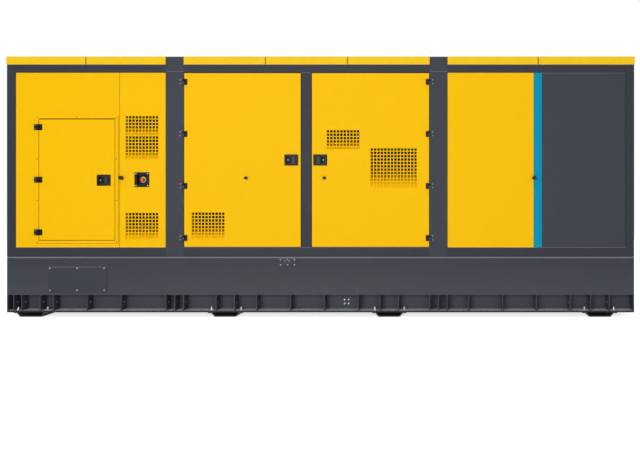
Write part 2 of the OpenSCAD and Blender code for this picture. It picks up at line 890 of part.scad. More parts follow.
// Pull handle that hinges at the side of the well away from the lock
module paddle(x, z, side, proud = 0) {
    w = well_w / 2 - paddle_r - 1;
    h = well_h / 2 - paddle_clear;
    translate([x, -face - proud, z]) scale([side, 1, 1]) {
        translate([-w, paddle_r, -h]) cylinder(r = paddle_r, h = 2 * h);
        block([-w, 0, 4 - h], [paddle_w - w, paddle_t, h - 4]);
        block([paddle_w - w - paddle_t, 0, 4 - h], [paddle_w - w, 3 * paddle_t, h - 4]);
    }
}

module stop_post(x, r, l) {
    translate([x, -face, stop_z]) rotate([90, 0, 0]) cylinder(r = r, h = l);
}

module column_hinges() {
    color(slate) for (z = door_hinge_z) {
        hinge_leaf(left_hinge_x, z, -1, false);
        hinge_leaf(right_hinge_x, z, 1, false);
    }
}

module control_hinges() {
    color(black) for (z = control_hinge_z) hinge_leaf(control_hinge_x, z, -1, false, control_frame_t);
}

module left_door_leaf() {
    color(yellow) leaf(left_door_x, door_z, left_grilles) latch_window(left_latch_x, latch_z);
}

module left_door_scoop() {
    color(yellow) for (g = left_grilles) scoop(g);
}

module left_door_hardware() {
    color(black) {
        for (z = door_hinge_z) hinge_leaf(left_hinge_x, z, 1, true);
        latch(left_latch_x, latch_z, -1);
        stop_post(left_hinge_x + left_pin_reach, door_pin_r, door_pin_l);
    }
}

module left_door_paddle() {
    color(black) paddle(left_latch_x, latch_z, -1);
}

module right_door_leaf() {
    color(yellow) leaf(right_door_x, door_z, right_grilles) latch_window(right_latch_x, latch_z);
}

module right_door_scoops() {
    color(yellow) for (g = right_grilles) scoop(g);
}

module right_door_hardware() {
    color(black) {
        for (z = door_hinge_z) hinge_leaf(right_hinge_x, z, -1, true);
        latch(right_latch_x, latch_z, 1);
        stop_post(right_hinge_x - right_pin_reach, door_pin_r, door_pin_l);
    }
}

module right_door_paddle() {
    color(black) paddle(right_latch_x, latch_z, 1);
}

module control_door_leaf() {
    color(yellow) leaf(control_x, control_z, [], control_frame_t) {
        latch_window(control_latch_x, control_latch_z);
    }
}

module control_door_hardware() {
    color(black) {
        for (z = control_hinge_z) hinge_leaf(control_hinge_x, z, 1, true, control_frame_t);
        latch(control_latch_x, control_latch_z, -1, control_frame_t);
    }
}

module control_door_paddle() {
    color(black) paddle(control_latch_x, control_latch_z, -1, control_frame_t);
}

module door_buffers() {
    color(black) {
        stop_post(left_hinge_x - left_pin_reach, buffer_r, buffer_l);
        stop_post(right_hinge_x + right_pin_reach, buffer_r, buffer_l);
    }
}

module rear_doors() {
    color(yellow) mirror([0, 1, 0]) {
        leaf(left_door_x, door_z, left_grilles) latch_window(left_latch_x, latch_z);
        leaf(right_door_x, door_z, right_grilles) latch_window(right_latch_x, latch_z);
    }
}

module rear_hardware() {
    color(black) mirror([0, 1, 0]) {
        for (z = door_hinge_z, up = [false, true]) {
            hinge_leaf(left_hinge_x, z, up ? 1 : -1, up);
            hinge_leaf(right_hinge_x, z, up ? -1 : 1, up);
        }
        latch(left_latch_x, latch_z, -1);
        latch(right_latch_x, latch_z, 1);
        paddle(left_latch_x, latch_z, -1);
        paddle(right_latch_x, latch_z, 1);
        stop_post(left_hinge_x + left_pin_reach, door_pin_r, door_pin_l);
        stop_post(right_hinge_x - right_pin_reach, door_pin_r, door_pin_l);
        stop_post(left_hinge_x - left_pin_reach, buffer_r, buffer_l);
        stop_post(right_hinge_x + right_pin_reach, buffer_r, buffer_l);
    }
}

// ---- emergency stop

module e_stop_housing() {
    h = e_stop_well / 2;
    color(black) translate([e_stop_x, -face, e_stop_z]) difference() {
        union() {
            plate(e_stop_w, e_stop_w, corner_r, e_stop_t);
            block([-h - well_t, -1, -h - well_t], [h + well_t, e_stop_d + button_travel + 7, h + well_t]);
        }
        block([-h, -e_stop_t - 1, -h], [h, e_stop_d, h]);
        translate([0, e_stop_d - 1, 0]) rotate([-90, 0, 0]) cylinder(r = stem_r + pin_clear, h = 20);
    }
}

module e_stop_button() {
    stem_l = e_stop_d + e_stop_t + button_proud - button_h + 4;
    color("red") translate([e_stop_x, -face + e_stop_d + 4, e_stop_z]) rotate([90, 0, 0]) {
        cylinder(r = stem_r, h = stem_l + eps);
        translate([0, 0, stem_l]) rotate_extrude() polygon([
            [0, 0], [button_r - 2, 0], [button_r, 3], [button_r, button_h - 6],
            [button_r - 4, button_h - 1], [0, button_h]
        ]);
    }
}

// ---- inside

module control_cabinet() {
    t = post_t;
    m = 20;
    x = [control_hole_x[0] - m, control_hole_x[1] + m];
    z = [control_hole_z[0] - m, control_hole_z[1] + m];
    color(slate) difference() {
        block([x[0], -face + panel_t, z[0]], [x[1], -face + cabinet_d, z[1]]);
        block([x[0] + t, -face + panel_t - 1, z[0] + t], [x[1] - t, -face + cabinet_d - t, z[1] - t]);
    }
}

// Block centred on x, its width, bottom and top given, from one depth to another
module on_board(x, size, y) {
    block([x - size[0] / 2, y[0], size[1]], [x + size[0] / 2, y[1], size[2]]);
}

// Mounting board with the controller, two rows of buttons and the breaker's cover
module control_panel() {
    y = -face + cabinet_d - post_t;
    front = y - board_t;
    mid = (control_x[0] + control_x[1]) / 2;
    top = control_z[1] - 3 * board_margin;
    low = control_z[0] + 2.5 * board_margin;
    board = [control_w - 2 * board_margin, control_z[0] + board_margin, control_z[1] - board_margin];
    color("silver") {
        on_board(mid, board, [y - board_t, y]);
        on_board(mid, [controller_w, top - controller_h, top], [front - 25, front + eps]);
        on_board(mid, [breaker_w, low, low + breaker_w], [front - 20, front + eps]);
        for (i = [-2:2], j = [1, 2]) {
            translate([mid + i * button_pitch, front + eps, top - controller_h - j * button_pitch]) {
                rotate([90, 0, 0]) cylinder(r = 15, h = 22);
            }
        }
    }
}

module bed_rails() {
    color(slate) both_sides() {
        block([alternator_x - 50, -bed_y - bed_w, deck_z], [half_block + 50, -bed_y, deck_z + bed_h]);
    }
}

// Frame of one bank of cylinders, with z along the cylinders and y towards the middle
module bank() {
    both_sides() translate([-half_block, 0, crank_z]) rotate([bank_angle, 0, 0]) children();
}

// Round bar lying along the length, from its left end
module lying(at, r, l) {
    translate(at) rotate([0, 90, 0]) cylinder(r = r, h = l);
}

// Foot that stands a machine on its bed rails
module machine_foot(x, w, top) {
    both_sides() block([x, -bed_y - bed_w, deck_z + bed_h], [x + w, -bed_y, top]);
}

module engine_block() {
    sump = crank_h - bed_h - 30;
    color("dimgray") {
        translate([-half_block, 0, crank_z]) rotate([90, 0, 90]) linear_extrude(block_l) polygon([
            [-250, -sump], [250, -sump], [390, -180], [390, 60],
            [230, 260], [-230, 260], [-390, 60], [-390, -180]
        ]);
        bank() block([0, -bank_w / 2, bank_h / 3], [block_l, bank_w / 2, bank_h]);
        lying([-half_block - bell_l, 0, crank_z], bell_r, bell_l + eps);
        lying([half_block - eps, 0, crank_z], 200, nose_l / 2);
        block([half_block - eps, -160, crank_z - 60], [half_block + nose_l, 160, fan_z + 130]);
        for (x = [-0.4, 0.34]) machine_foot(x * block_l, 150, crank_z - 100);
        for (i = [0:3]) {
            translate([100 + i * 150, -bed_y - bed_w - 30, crank_z - 330]) cylinder(r = 58, h = 260);
            block([60 + i * 150, -bed_y - bed_w - 30, crank_z - 70], [140 + i * 150, -bed_y, crank_z - 20]);
        }
    }
}

module engine_heads() {
    color("gray") bank() for (i = [0:cylinders - 1]) {
        translate([i * head_pitch + 8, -head_w / 2, bank_h]) cube([head_pitch - 16, head_w, head_h]);
        translate([i * head_pitch + 40, 0, bank_h + head_h - eps]) rotate([90, 0, 90]) {
            linear_extrude(head_pitch - 80) polygon([
                [-head_w * 0.36, 0], [head_w * 0.36, 0], [head_w * 0.36, cover_h * 0.6],
                [head_w * 0.22, cover_h], [-head_w * 0.22, cover_h], [-head_w * 0.36, cover_h * 0.6]
            ]);
        }
    }
}

// Manifold along a bank with a port to every head
module manifold(r, x) {
    lying([x, head_w / 2 + manifold_off, port_z], r, block_l - head_pitch / 4 - x);
    for (i = [0:cylinders - 1]) translate([(i + 0.5) * head_pitch, head_w / 2, port_z]) {
        rotate([-90, 0, 0]) cylinder(r = min(r, head_h) * 0.45, h = manifold_off);
    }
}

// Air and exhaust manifolds, the turbochargers and the air filters
module engine_manifolds() {
    color("darkgray") {
        bank() {
            manifold(air_r, head_pitch / 4);
            mirror([0, 1, 0]) manifold(exhaust_r, turbo_x + half_block);
        }
        both_sides() translate([turbo_x, -turbo_y, turbo_z]) {
            lying([-turbo_r / 2, 0, 0], turbo_r, turbo_r);
            cylinder(r = pipe_r * 0.8, h = turbo_r + 60);
        }
        block([-half_block + 50, -95, crank_z + bank_h * 0.72], [-half_block + 290, 95, filter_z]);
        both_sides() lying([-half_block, -60 - filter_r, filter_z], filter_r, filter_l);
    }
}

module alternator() {
    color("steelblue") {
        lying([alternator_x, 0, crank_z], alternator_r - 20, alternator_l);
        for (x = [0, 0.18, 0.36, 0.54, 0.72, 1]) {
            lying([alternator_x + x * (alternator_l - 40), 0, crank_z], alternator_r, 40);
        }
        translate([alternator_x + 0.22 * alternator_l, -terminal_w / 2, crank_z]) {
            cube([terminal_l, terminal_w, terminal_h]);
        }
        for (x = [0.15, 0.67]) machine_foot(alternator_x + x * alternator_l, 0.12 * alternator_l, crank_z);
    }
}

// Core with its tanks and the cowl that the fan turns in
module radiator() {
    h = face - rail_d - 40;
    top = exhaust_z - pipe_r - radiator_gap;
    color("dimgray") {
        block([radiator_x + 30, -h, deck_z], [radiator_x + radiator_d - 30, h, top]);
        for (z = [[deck_z, deck_z + 110], [top - 150, top]]) {
            block([radiator_x, -h, z[0]], [radiator_x + radiator_d, h, z[1]]);
        }
        both_sides() block([radiator_x, h - 70, deck_z], [radiator_x + radiator_d, h, top]);
        difference() {
            block([fan_x - 10, -h, deck_z], [radiator_x + eps, h, top]);
            block([fan_x + 15, 10 - h, deck_z + 10], [radiator_x + 1, h - 10, top - 10]);
            translate([fan_x - 20, 0, fan_z]) rotate([0, 90, 0]) cylinder(r = fan_r + 15, h = 60);
        }
    }
}

module fan() {
    color("orange") translate([half_block + nose_l, 0, fan_z]) {
        reach = fan_x - half_block - nose_l;
        rotate([0, 90, 0]) cylinder(r = 60, h = reach);
        translate([reach - 50, 0, 0]) rotate([0, 90, 0]) cylinder(r = 150, h = 80);
        for (i = [0:fan_blades - 1]) rotate([i * 360 / fan_blades, 0, 0]) translate([reach - 10, 0, 120]) {
            rotate([0, 0, 32]) rotate([90, 0, 90]) linear_extrude(10) polygon([
                [-70, 0], [70, 0], [115, (fan_r - 120) * 0.75],
                [90, fan_r - 140], [-90, fan_r - 140], [-115, (fan_r - 120) * 0.75]
            ]);
        }
    }
}

// Silencer hung from the top rails, with the pipes that come from both turbochargers
module silencer() {
    start = turbo_z + turbo_r + 60;
    color("silver") {
        lying([silencer_x, 0, silencer_z], silencer_r, silencer_l);
        for (x = [0.15, 0.85]) translate([silencer_x + x * silencer_l - 30, 0, 0]) {
            block([0, -face + rail_d, top_rail_z0], [60, face - rail_d, top_rail_z0 + 60]);
            block([0, -60, silencer_z + silencer_r - 30], [60, 60, top_rail_z0 + eps]);
        }
        lying([turbo_x, 0, exhaust_z], pipe_r, silencer_x - turbo_x + eps);
        translate([turbo_x, turbo_y, exhaust_z]) rotate([90, 0, 0]) {
            cylinder(r = pipe_r * 0.8, h = 2 * turbo_y);
        }
        both_sides() translate([turbo_x, -turbo_y, 0]) {
            translate([0, 0, start]) cylinder(r = pipe_r * 0.8, h = exhaust_z - start);
            translate([0, 0, start]) cylinder(r = pipe_r * 1.15, h = 16);
        }
    }
}

base_rail_front();
base_rail_rear();
base_end_beams();
fuel_tank();
skid_feet();
tank_covers();
corner_posts();
side_rails();
end_rails();
lifting_columns();
lifting_beams();
lifting_blocks();
door_posts();
door_lip_sides();
door_lip_rails();
roof_panels();
control_bay_panel();
control_frame_sides();
control_frame_rails();
vent_panel_front();
radiator_panel_front();
stripe_panels();
outlet_panels();
rear_panels();
rear_doors();
rear_hardware();
inlet_end_wall();
outlet_end_wall();
vent_scoops();
column_hinges();
control_hinges();
door_buffers();
e_stop_housing();
e_stop_button();
left_door_leaf();
left_door_scoop();
left_door_hardware();
left_door_paddle();
right_door_leaf();
right_door_scoops();
right_door_hardware();
right_door_paddle();
control_door_leaf();
control_door_hardware();
control_door_paddle();
control_cabinet();
control_panel();
bed_rails();
engine_block();
engine_heads();
engine_manifolds();
alternator();
radiator();
fan();
silencer();
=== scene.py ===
# Generator set: finishes, small parts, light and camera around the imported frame.
import json
import math
import random
from itertools import product

import bmesh
import bpy
from mathutils import Matrix, Vector


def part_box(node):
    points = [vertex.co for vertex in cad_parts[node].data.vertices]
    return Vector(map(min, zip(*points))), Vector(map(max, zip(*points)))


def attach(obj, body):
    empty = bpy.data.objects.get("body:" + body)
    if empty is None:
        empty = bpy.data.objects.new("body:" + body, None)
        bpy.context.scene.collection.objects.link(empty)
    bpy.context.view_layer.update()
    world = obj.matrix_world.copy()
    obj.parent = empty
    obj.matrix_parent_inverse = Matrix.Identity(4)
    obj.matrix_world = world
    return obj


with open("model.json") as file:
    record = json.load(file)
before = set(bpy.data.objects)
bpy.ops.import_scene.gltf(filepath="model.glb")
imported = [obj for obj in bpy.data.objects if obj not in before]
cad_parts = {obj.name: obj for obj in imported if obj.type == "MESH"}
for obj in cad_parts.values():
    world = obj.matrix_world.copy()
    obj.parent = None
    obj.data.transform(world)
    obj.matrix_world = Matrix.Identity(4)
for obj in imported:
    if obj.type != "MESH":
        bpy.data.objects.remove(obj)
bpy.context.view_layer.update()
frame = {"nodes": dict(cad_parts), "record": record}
nodes = frame["nodes"]
dice = random.Random(11)
print("loaded", len(nodes), "nodes")


def mathsNode(operation, flipped=False):
    # a method that joins its socket and the other values through one Math node
    def method(self, *others):
        values = (*others, self) if flipped else (self, *others)
        return self.owner.node("ShaderNodeMath", {"operation": operation}, dict(enumerate(values)))
    return method


class Wire:
    # one socket, so that shader maths reads as an expression
    def __init__(self, owner, socket):
        self.owner = owner
        self.socket = socket

    __add__, __radd__ = mathsNode("ADD"), mathsNode("ADD", True)
    __sub__, __rsub__ = mathsNode("SUBTRACT"), mathsNode("SUBTRACT", True)
    __mul__, __rmul__ = mathsNode("MULTIPLY"), mathsNode("MULTIPLY", True)
    __abs__ = mathsNode("ABSOLUTE")
    above, near = mathsNode("GREATER_THAN"), mathsNode("COMPARE")
    least, most = mathsNode("MINIMUM"), mathsNode("MAXIMUM")


class NodeSet:
    # the nodes of a material or of the world
    def __init__(self, tree):
        self.tree = tree

    def node(self, kind, settings=None, sockets=None, output=0):
        # settings are set first, then the values or links of the sockets
        made = self.tree.nodes.new(kind)
        for key, value in (settings or {}).items():
            if key == "stops":
                self.setStops(made.color_ramp, value)
            else:
                setattr(made, key, value)
        for key, value in (sockets or {}).items():
            self.join(made.inputs[key], value)
        return Wire(self, made.outputs[output])

    def setStops(self, ramp, stops):
        # a new ramp comes with two stops
        for spot, (at, colour) in enumerate(stops):
            stop = ramp.elements[spot] if spot < 2 else ramp.elements.new(at)
            stop.position = at
            stop.color = (*colour, 1)

    def join(self, socket, value):
        if isinstance(value, Wire):
            self.tree.links.new(value.socket, socket)
        else:
            socket.default_value = value

    def ray(self, kind):
        return self.node("ShaderNodeLightPath", output=kind)


class Finish(NodeSet):
    # a material; constants go straight onto its shader
    def __init__(self, name, colour, rough, metal=0.0, shine=0.5):
        self.material = bpy.data.materials.new(name)
        self.material.use_nodes = True
        super().__init__(self.material.node_tree)
        self.shader = self.tree.nodes["Principled BSDF"]
        self.feed("Base Color", (*colour, 1))
        self.feed("Roughness", rough)
        self.feed("Metallic", metal)
        self.feed("Specular IOR Level", shine)

    def feed(self, socket, value):
        self.join(self.shader.inputs[socket], value)

    def place(self):
        return self.node("ShaderNodeTexCoord", output="Object")

    def normal(self):
        return self.node("ShaderNodeNewGeometry", output="Normal")

    def part(self, vector, axis):
        return self.node("ShaderNodeSeparateXYZ", sockets={0: vector}, output=axis)

    def upward(self):
        # 1 on what lies flat and faces up, 0 on walls and below
        return self.part(self.normal(), "Z").most(0.0)

    def rounded(self, radius):
        return self.node("ShaderNodeBevel", {"samples": 8}, {"Radius": radius})

    def topEdge(self, radius):
        # 0 to 1 along edges that look up, where a painted highlight goes
        sockets = {0: self.rounded(radius), 1: self.normal()}
        return self.part(self.node("ShaderNodeVectorMath", {"operation": "SUBTRACT"}, sockets), "Z").most(0.0)

    def noise(self, scale, detail=2.0, stretch=(1, 1, 1)):
        spot = self.node("ShaderNodeVectorMath", {"operation": "MULTIPLY"}, {0: self.place(), 1: stretch})
        return self.node("ShaderNodeTexNoise", {}, {"Vector": spot, "Scale": scale, "Detail": detail})

    def blend(self, mask, first, second):
        # two colours through a Mix node
        return self.node("ShaderNodeMix", {"data_type": "RGBA"}, {0: mask, 6: first, 7: second}, output=2)

    def mottle(self, pattern, colour, dark, pale):
        self.feed("Base Color", self.blend(pattern, shade(colour, dark), shade(colour, pale)))

    def roughen(self, rough, swing, pattern):
        # roughness that swings about its middle
        self.feed("Roughness", rough - swing / 2 + swing * pattern)

    def bump(self, height, strength, distance, edge=0.0):
        # relief; the edge is a radius that rounds hard corners in the shading
        sockets = {"Strength": strength, "Distance": distance, "Height": height}
        if edge:
            sockets["Normal"] = self.rounded(edge)
        self.feed("Normal", self.node("ShaderNodeBump", {}, sockets))


def shade(colour, amount):
    return (*[min(1.0, part * amount) for part in colour], 1)


def linear(red, green, blue):
    # screen colour 0 to 255, as the linear value the shader wants
    def one(part):
        part /= 255
        return part / 12.92 if part <= 0.04045 else ((part + 0.055) / 1.055) ** 2.4
    return tuple(one(part) for part in (red, green, blue))


coatLook = {
    "rough": 0.42, "swing": 0.1, "ruffle": (6.0, 4.0), "shine": 0.3,
    "drift": 0.05, "broad": (0.55, 3.0), "small": (5.0, 5.0), "share": 0.6,  # two noises of the slow drift
    "peel": 0.12, "skin": 160.0, "depth": 0.0006,
    "edge": 0.0,  # radius that rounds hard corners in the shading
    "dust": 0.0, "cloud": (14.0, 4.0),  # dust and painted highlight on what faces up
    "line": 0.0, "reach": 0.009,  # painted highlight along upper edges and its reach
    "pale": (0.29, 0.31, 0.37, 1),
    "foot": None,
    "joints": (), "joint": 0.0085, "flat": 0.7, "sealant": (0.006, 0.006, 0.0065, 1),
}


def powderCoat(name, colour, **changes):
    # sprayed coat: slow drift of tone, orange peel, dust and painted highlight on what faces up, painted
    # highlight along upper edges
    look, colour = {**coatLook, **changes}, linear(*colour)
    finish = Finish(name, colour, look["rough"], shine=look["shine"])
    slow = finish.noise(*look["broad"]) * look["share"] + finish.noise(*look["small"]) * (1 - look["share"])
    tone = finish.blend(slow, shade(colour, 1 - look["drift"]), shade(colour, 1 + look["drift"]))
    pale, line, foot = look["pale"], look["line"], look["foot"]
    if foot:
        height = finish.part(finish.place(), "Z")
        # painted shade, darker towards the top of the base
        rise = (height - foot["low"]) * (1 / (foot["high"] - foot["low"]))
        tone = finish.blend(rise.most(0.0).least(1.0), tone, shade(colour, foot["heightShade"]))
        # painted shade on the lowest part of the base
        tone = finish.blend(height.above(foot["sole"]), shade(colour, foot["floorShade"]), tone)
        # painted highlight on the flange's upward faces, and no edge highlight below it
        clear = height.above(foot["flange"])
        pale = finish.blend(clear, foot["dust"], pale)
        line = clear * line
    # dust and painted highlight on what faces up
    if look["dust"]:
        dust = finish.upward() * (0.5 + finish.noise(*look["cloud"])) * look["dust"]
        tone = finish.blend(dust.least(1.0), tone, pale)
    # painted highlight along edges that look up
    if look["line"]:
        tone = finish.blend((finish.topEdge(look["reach"]) * line).least(1.0), tone, pale)
    for x in look["joints"]:  # sealant across the upper face
        strip = finish.part(finish.place(), "X").near(x, look["joint"] / 2)
        tone = finish.blend(strip * finish.upward().above(look["flat"]), tone, look["sealant"])
    finish.feed("Base Color", tone)
    finish.roughen(look["rough"], look["swing"], finish.noise(*look["ruffle"]))
    finish.bump(finish.noise(look["skin"]), look["peel"], look["depth"], look["edge"])
    return finish.material


def sootedTray(name, look):
    # duct sheet behind a grille: yellow near the face, then painted shade that darkens it to black toward its
    # deep end
    finish = Finish(name, look["stops"][-1][1], look["rough"], shine=0.05)
    inward = (look["mouth"] - abs(finish.part(finish.place(), "Y"))) * (1 / look["deep"])
    # painted shade by depth behind the face, its edge broken by noise
    depthShade = inward + look["ragged"] * (finish.noise(*look["cloud"]) - 0.5)
    finish.feed("Base Color", finish.node("ShaderNodeValToRGB", {"stops": look["stops"]}, {0: depthShade}))
    finish.roughen(look["rough"], look["swing"], finish.noise(*look["ruffle"]))
    finish.bump(finish.noise(look["skin"]), *look["relief"])
    return finish.material


plainLook = {  # without its own pattern, a channel follows the main one
    "metal": 0.0, "shine": 0.5, "grain": (60.0, 4.0), "cells": None, "tones": (0.86, 1.1),
    "lift": 0.0, "swing": 0.12, "ruffle": None, "skin": None, "relief": (0.1, 0.0015),
}


def surface(name, colour, rough, look, **changes):
    # plain material: a pattern that drives its tone, its roughness and its relief
    look, colour = {**plainLook, **look, **changes}, linear(*colour)
    finish = Finish(name, colour, rough, look["metal"], look["shine"])
    if look["cells"]:
        pattern = finish.node("ShaderNodeTexVoronoi", {}, {"Vector": finish.place(), "Scale": look["cells"]})
    else:
        pattern = finish.noise(*look["grain"])
    finish.mottle(pattern, colour, *look["tones"])
    ruffle = finish.noise(*look["ruffle"]) if look["ruffle"] else pattern
    finish.roughen(rough + look["lift"], look["swing"], ruffle)
    finish.bump(finish.noise(look["skin"]) if look["skin"] else pattern, *look["relief"])
    return finish.material


foamLook = {  # open cells over a soft skin
    "shine": 0.05, "cells": 130.0, "tones": (0.5, 1.5),
    "swing": 0.1, "ruffle": (9.0, 3.0), "relief": (0.6, 0.003),
}
castLook = {"grain": (55.0, 6.0), "tones": (0.72, 1.25), "swing": 0.2, "ruffle": (20.0, 4.0)}  # pitted skin
streakLook = {"metal": 1.0, "swing": 0.16, "relief": (0.08, 0.0004)}  # drawn or rolled
bloomLook = {"grain": (35.0, 5.0), "tones": (0.8, 1.5), "skin": 700.0, "relief": (0.2, 0.0003)}
hazeLook = {"grain": (60.0, 3.0), "tones": (0.92, 1.06), "lift": 0.06, "relief": (0.05, 0.0005)}
# slate: dust and painted highlight on upward faces, painted highlight along upper edges
slateLook = {
    "rough": 0.5, "drift": 0.06, "peel": 0.2, "shine": 0.15, "edge": 0.003, "dust": 0.35, "line": 1.3,
}
# the base: a strong painted highlight on its upward faces
baseLook = {**slateLook, "dust": 2.6, "line": 1.2}
footLook = {**slateLook, "dust": 0.0, "line": 0.4}
blackLook = {"drift": 0.1, "peel": 0.2, "shine": 0.12, "line": 0.35, "reach": 0.003}
brightLook = {"rough": 0.5, "drift": 0.02, "peel": 0.1, "shine": 0.06, "edge": 0.003}
baseShading = {
    "low": 0.25, "high": 0.65, "heightShade": 0.68,  # painted shade: the coat darkens with height between these
    "flange": 0.14, "dust": (1, 1, 1, 1),  # below this, upward faces are painted white, a painted highlight on the flange's top
    "sole": 0.076, "floorShade": 0.45,  # below this, the coat is painted darker as shade near the floor
}
trayLook = {
    "rough": 0.7, "swing": 0.2, "ruffle": (30.0, 3.0), "skin": 160.0, "relief": (0.15, 0.0006),
    "mouth": 1.146, "deep": 0.152, "ragged": 0.12, "cloud": (9.0, 3.0),
    # ramp of the painted shade, from yellow at the scoop's mouth to black deep inside
    "stops": [
        (0.08, linear(240, 180, 10)),
        (0.24, linear(140, 102, 8)),
        (0.42, linear(76, 56, 8)),
        (0.60, linear(14, 13, 12)),
    ],
}
finishes = {
    "yellow": powderCoat("yellowCoat", (254, 197, 0), **brightLook),
    "slate": powderCoat("slateCoat", (59, 62, 72), **slateLook),
    "slateDark": powderCoat("slateCoatFrame", (51, 53, 62), **slateLook),
    "slateBase": powderCoat("slateCoatBase", (69, 72, 81), foot=baseShading, **baseLook),
    "slateFoot": powderCoat("slateCoatFoot", (74, 77, 86), **footLook),
    "blue": powderCoat("blueCoat", (0, 148, 188), **brightLook),
    "black": powderCoat("blackCoat", (20, 20, 23), **blackLook),
    "pale": powderCoat("paleCoat", (222, 223, 220), rough=0.45, drift=0.03, peel=0.1),
    "engine": powderCoat("engineEnamel", (128, 134, 138), rough=0.4, drift=0.12, peel=0.5, dust=0.2),
    # a grey lighter than the latches' black, a painted highlight on their rims and grips
    "rim": powderCoat("rimCoat", (66, 68, 68), rough=0.4, drift=0.08, peel=0.1),
    "foam": surface("blackFoam", (17, 17, 18), 0.95, foamLook),
    "cloth": surface("glassCloth", (196, 190, 176), 0.9, foamLook),
    "tray": sootedTray("sootedTray", trayLook),
    "cast": surface("castIron", (92, 92, 94), 0.7, castLook, metal=0.2, relief=(0.4, 0.0015)),
    "bronze": surface("passivatedZinc", (120, 88, 40), 0.5, castLook, metal=0.3),
    "dull": surface("dullZinc", (150, 152, 156), 0.5, castLook, metal=0.6),
    "zinc": surface("zincPlate", (205, 206, 208), 0.35, castLook, metal=0.7),
    "fan": surface("fanAlloy", (190, 192, 196), 0.4, streakLook, grain=(60.0, 4.0, (1, 1, 30))),
    "steel": surface("silencerSteel", (168, 170, 172), 0.45, streakLook, grain=(60.0, 4.0, (1, 12, 12))),
    "rubber": surface("blackRubber", (18, 18, 19), 0.75, bloomLook),
    "red": surface("redPlastic", (214, 38, 34), 0.3, hazeLook),
    "green": surface("greenPlastic", (38, 140, 66), 0.3, hazeLook),
    "amber": surface("amberPlastic", (226, 140, 30), 0.3, hazeLook),
    "grey": surface("greyPlastic", (150, 153, 156), 0.45, hazeLook),
    "cream": surface("creamRing", (226, 190, 92), 0.4, hazeLook),
    "glass": surface("screenGlass", (28, 44, 62), 0.12, hazeLook),
}
slotFinish = {
    "yellow_paint": "yellow", "slate_paint": "slate", "blue_paint": "blue", "pale_paint": "pale",
    "engine_paint": "engine", "black_hardware": "black", "black_rubber": "rubber", "red_plastic": "red",
    "cast_metal": "cast", "fan_metal": "fan", "silencer_steel": "steel",
}
nodeFinish = {  # the slate coat in a darker copy on the frame and lighter copies on the base and the feet
    "corner_posts": "slateDark", "side_rails": "slateDark", "end_rails": "slateDark",
    "door_posts": "slateDark", "base_rail_front": "slateBase", "base_rail_rear": "slateBase",
    "base_end_beams": "slateBase", "skid_feet": "slateFoot",
}
for part in frame["record"]["subparts"]:
    mesh = nodes[part["node"]].data
    mesh.materials.clear()
    mesh.materials.append(finishes[nodeFinish.get(part["node"], slotFinish[part["material_slot"]])])
print("finishes on the nodes")

toLeft, toRight = (-1, 0, 0), (1, 0, 0)
toFront, toRear = (0, -1, 0), (0, 1, 0)
toFloor, toTop = (0, 0, -1), (0, 0, 1)


def turnTo(at, outward):
    # matrix whose local z points outward at a point
    return Matrix.Translation(at) @ Vector(outward).to_track_quat("Z", "Y").to_matrix().to_4x4()


def around(count, radius=1.0, turn=0.0):
    # evenly spaced places on a circle, turned by a share of their spacing
    angles = [2 * math.pi * (i + turn) / count for i in range(count)]
    return [(radius * math.cos(angle), radius * math.sin(angle)) for angle in angles]


def spread(low, high, end, count):
    # evenly spaced values, the outer ones a little way in from the ends
    return [low + end + i * (high - low - 2 * end) / (count - 1) for i in range(count)]


def about(middle, half):
    return middle - half, middle + half


def off(start, steps):
    return [start + step for step in steps]


def inside(box, axis, inset):
    # a box's two limits along an axis, brought in a little
    return getattr(box[0], axis) + inset, getattr(box[1], axis) - inset


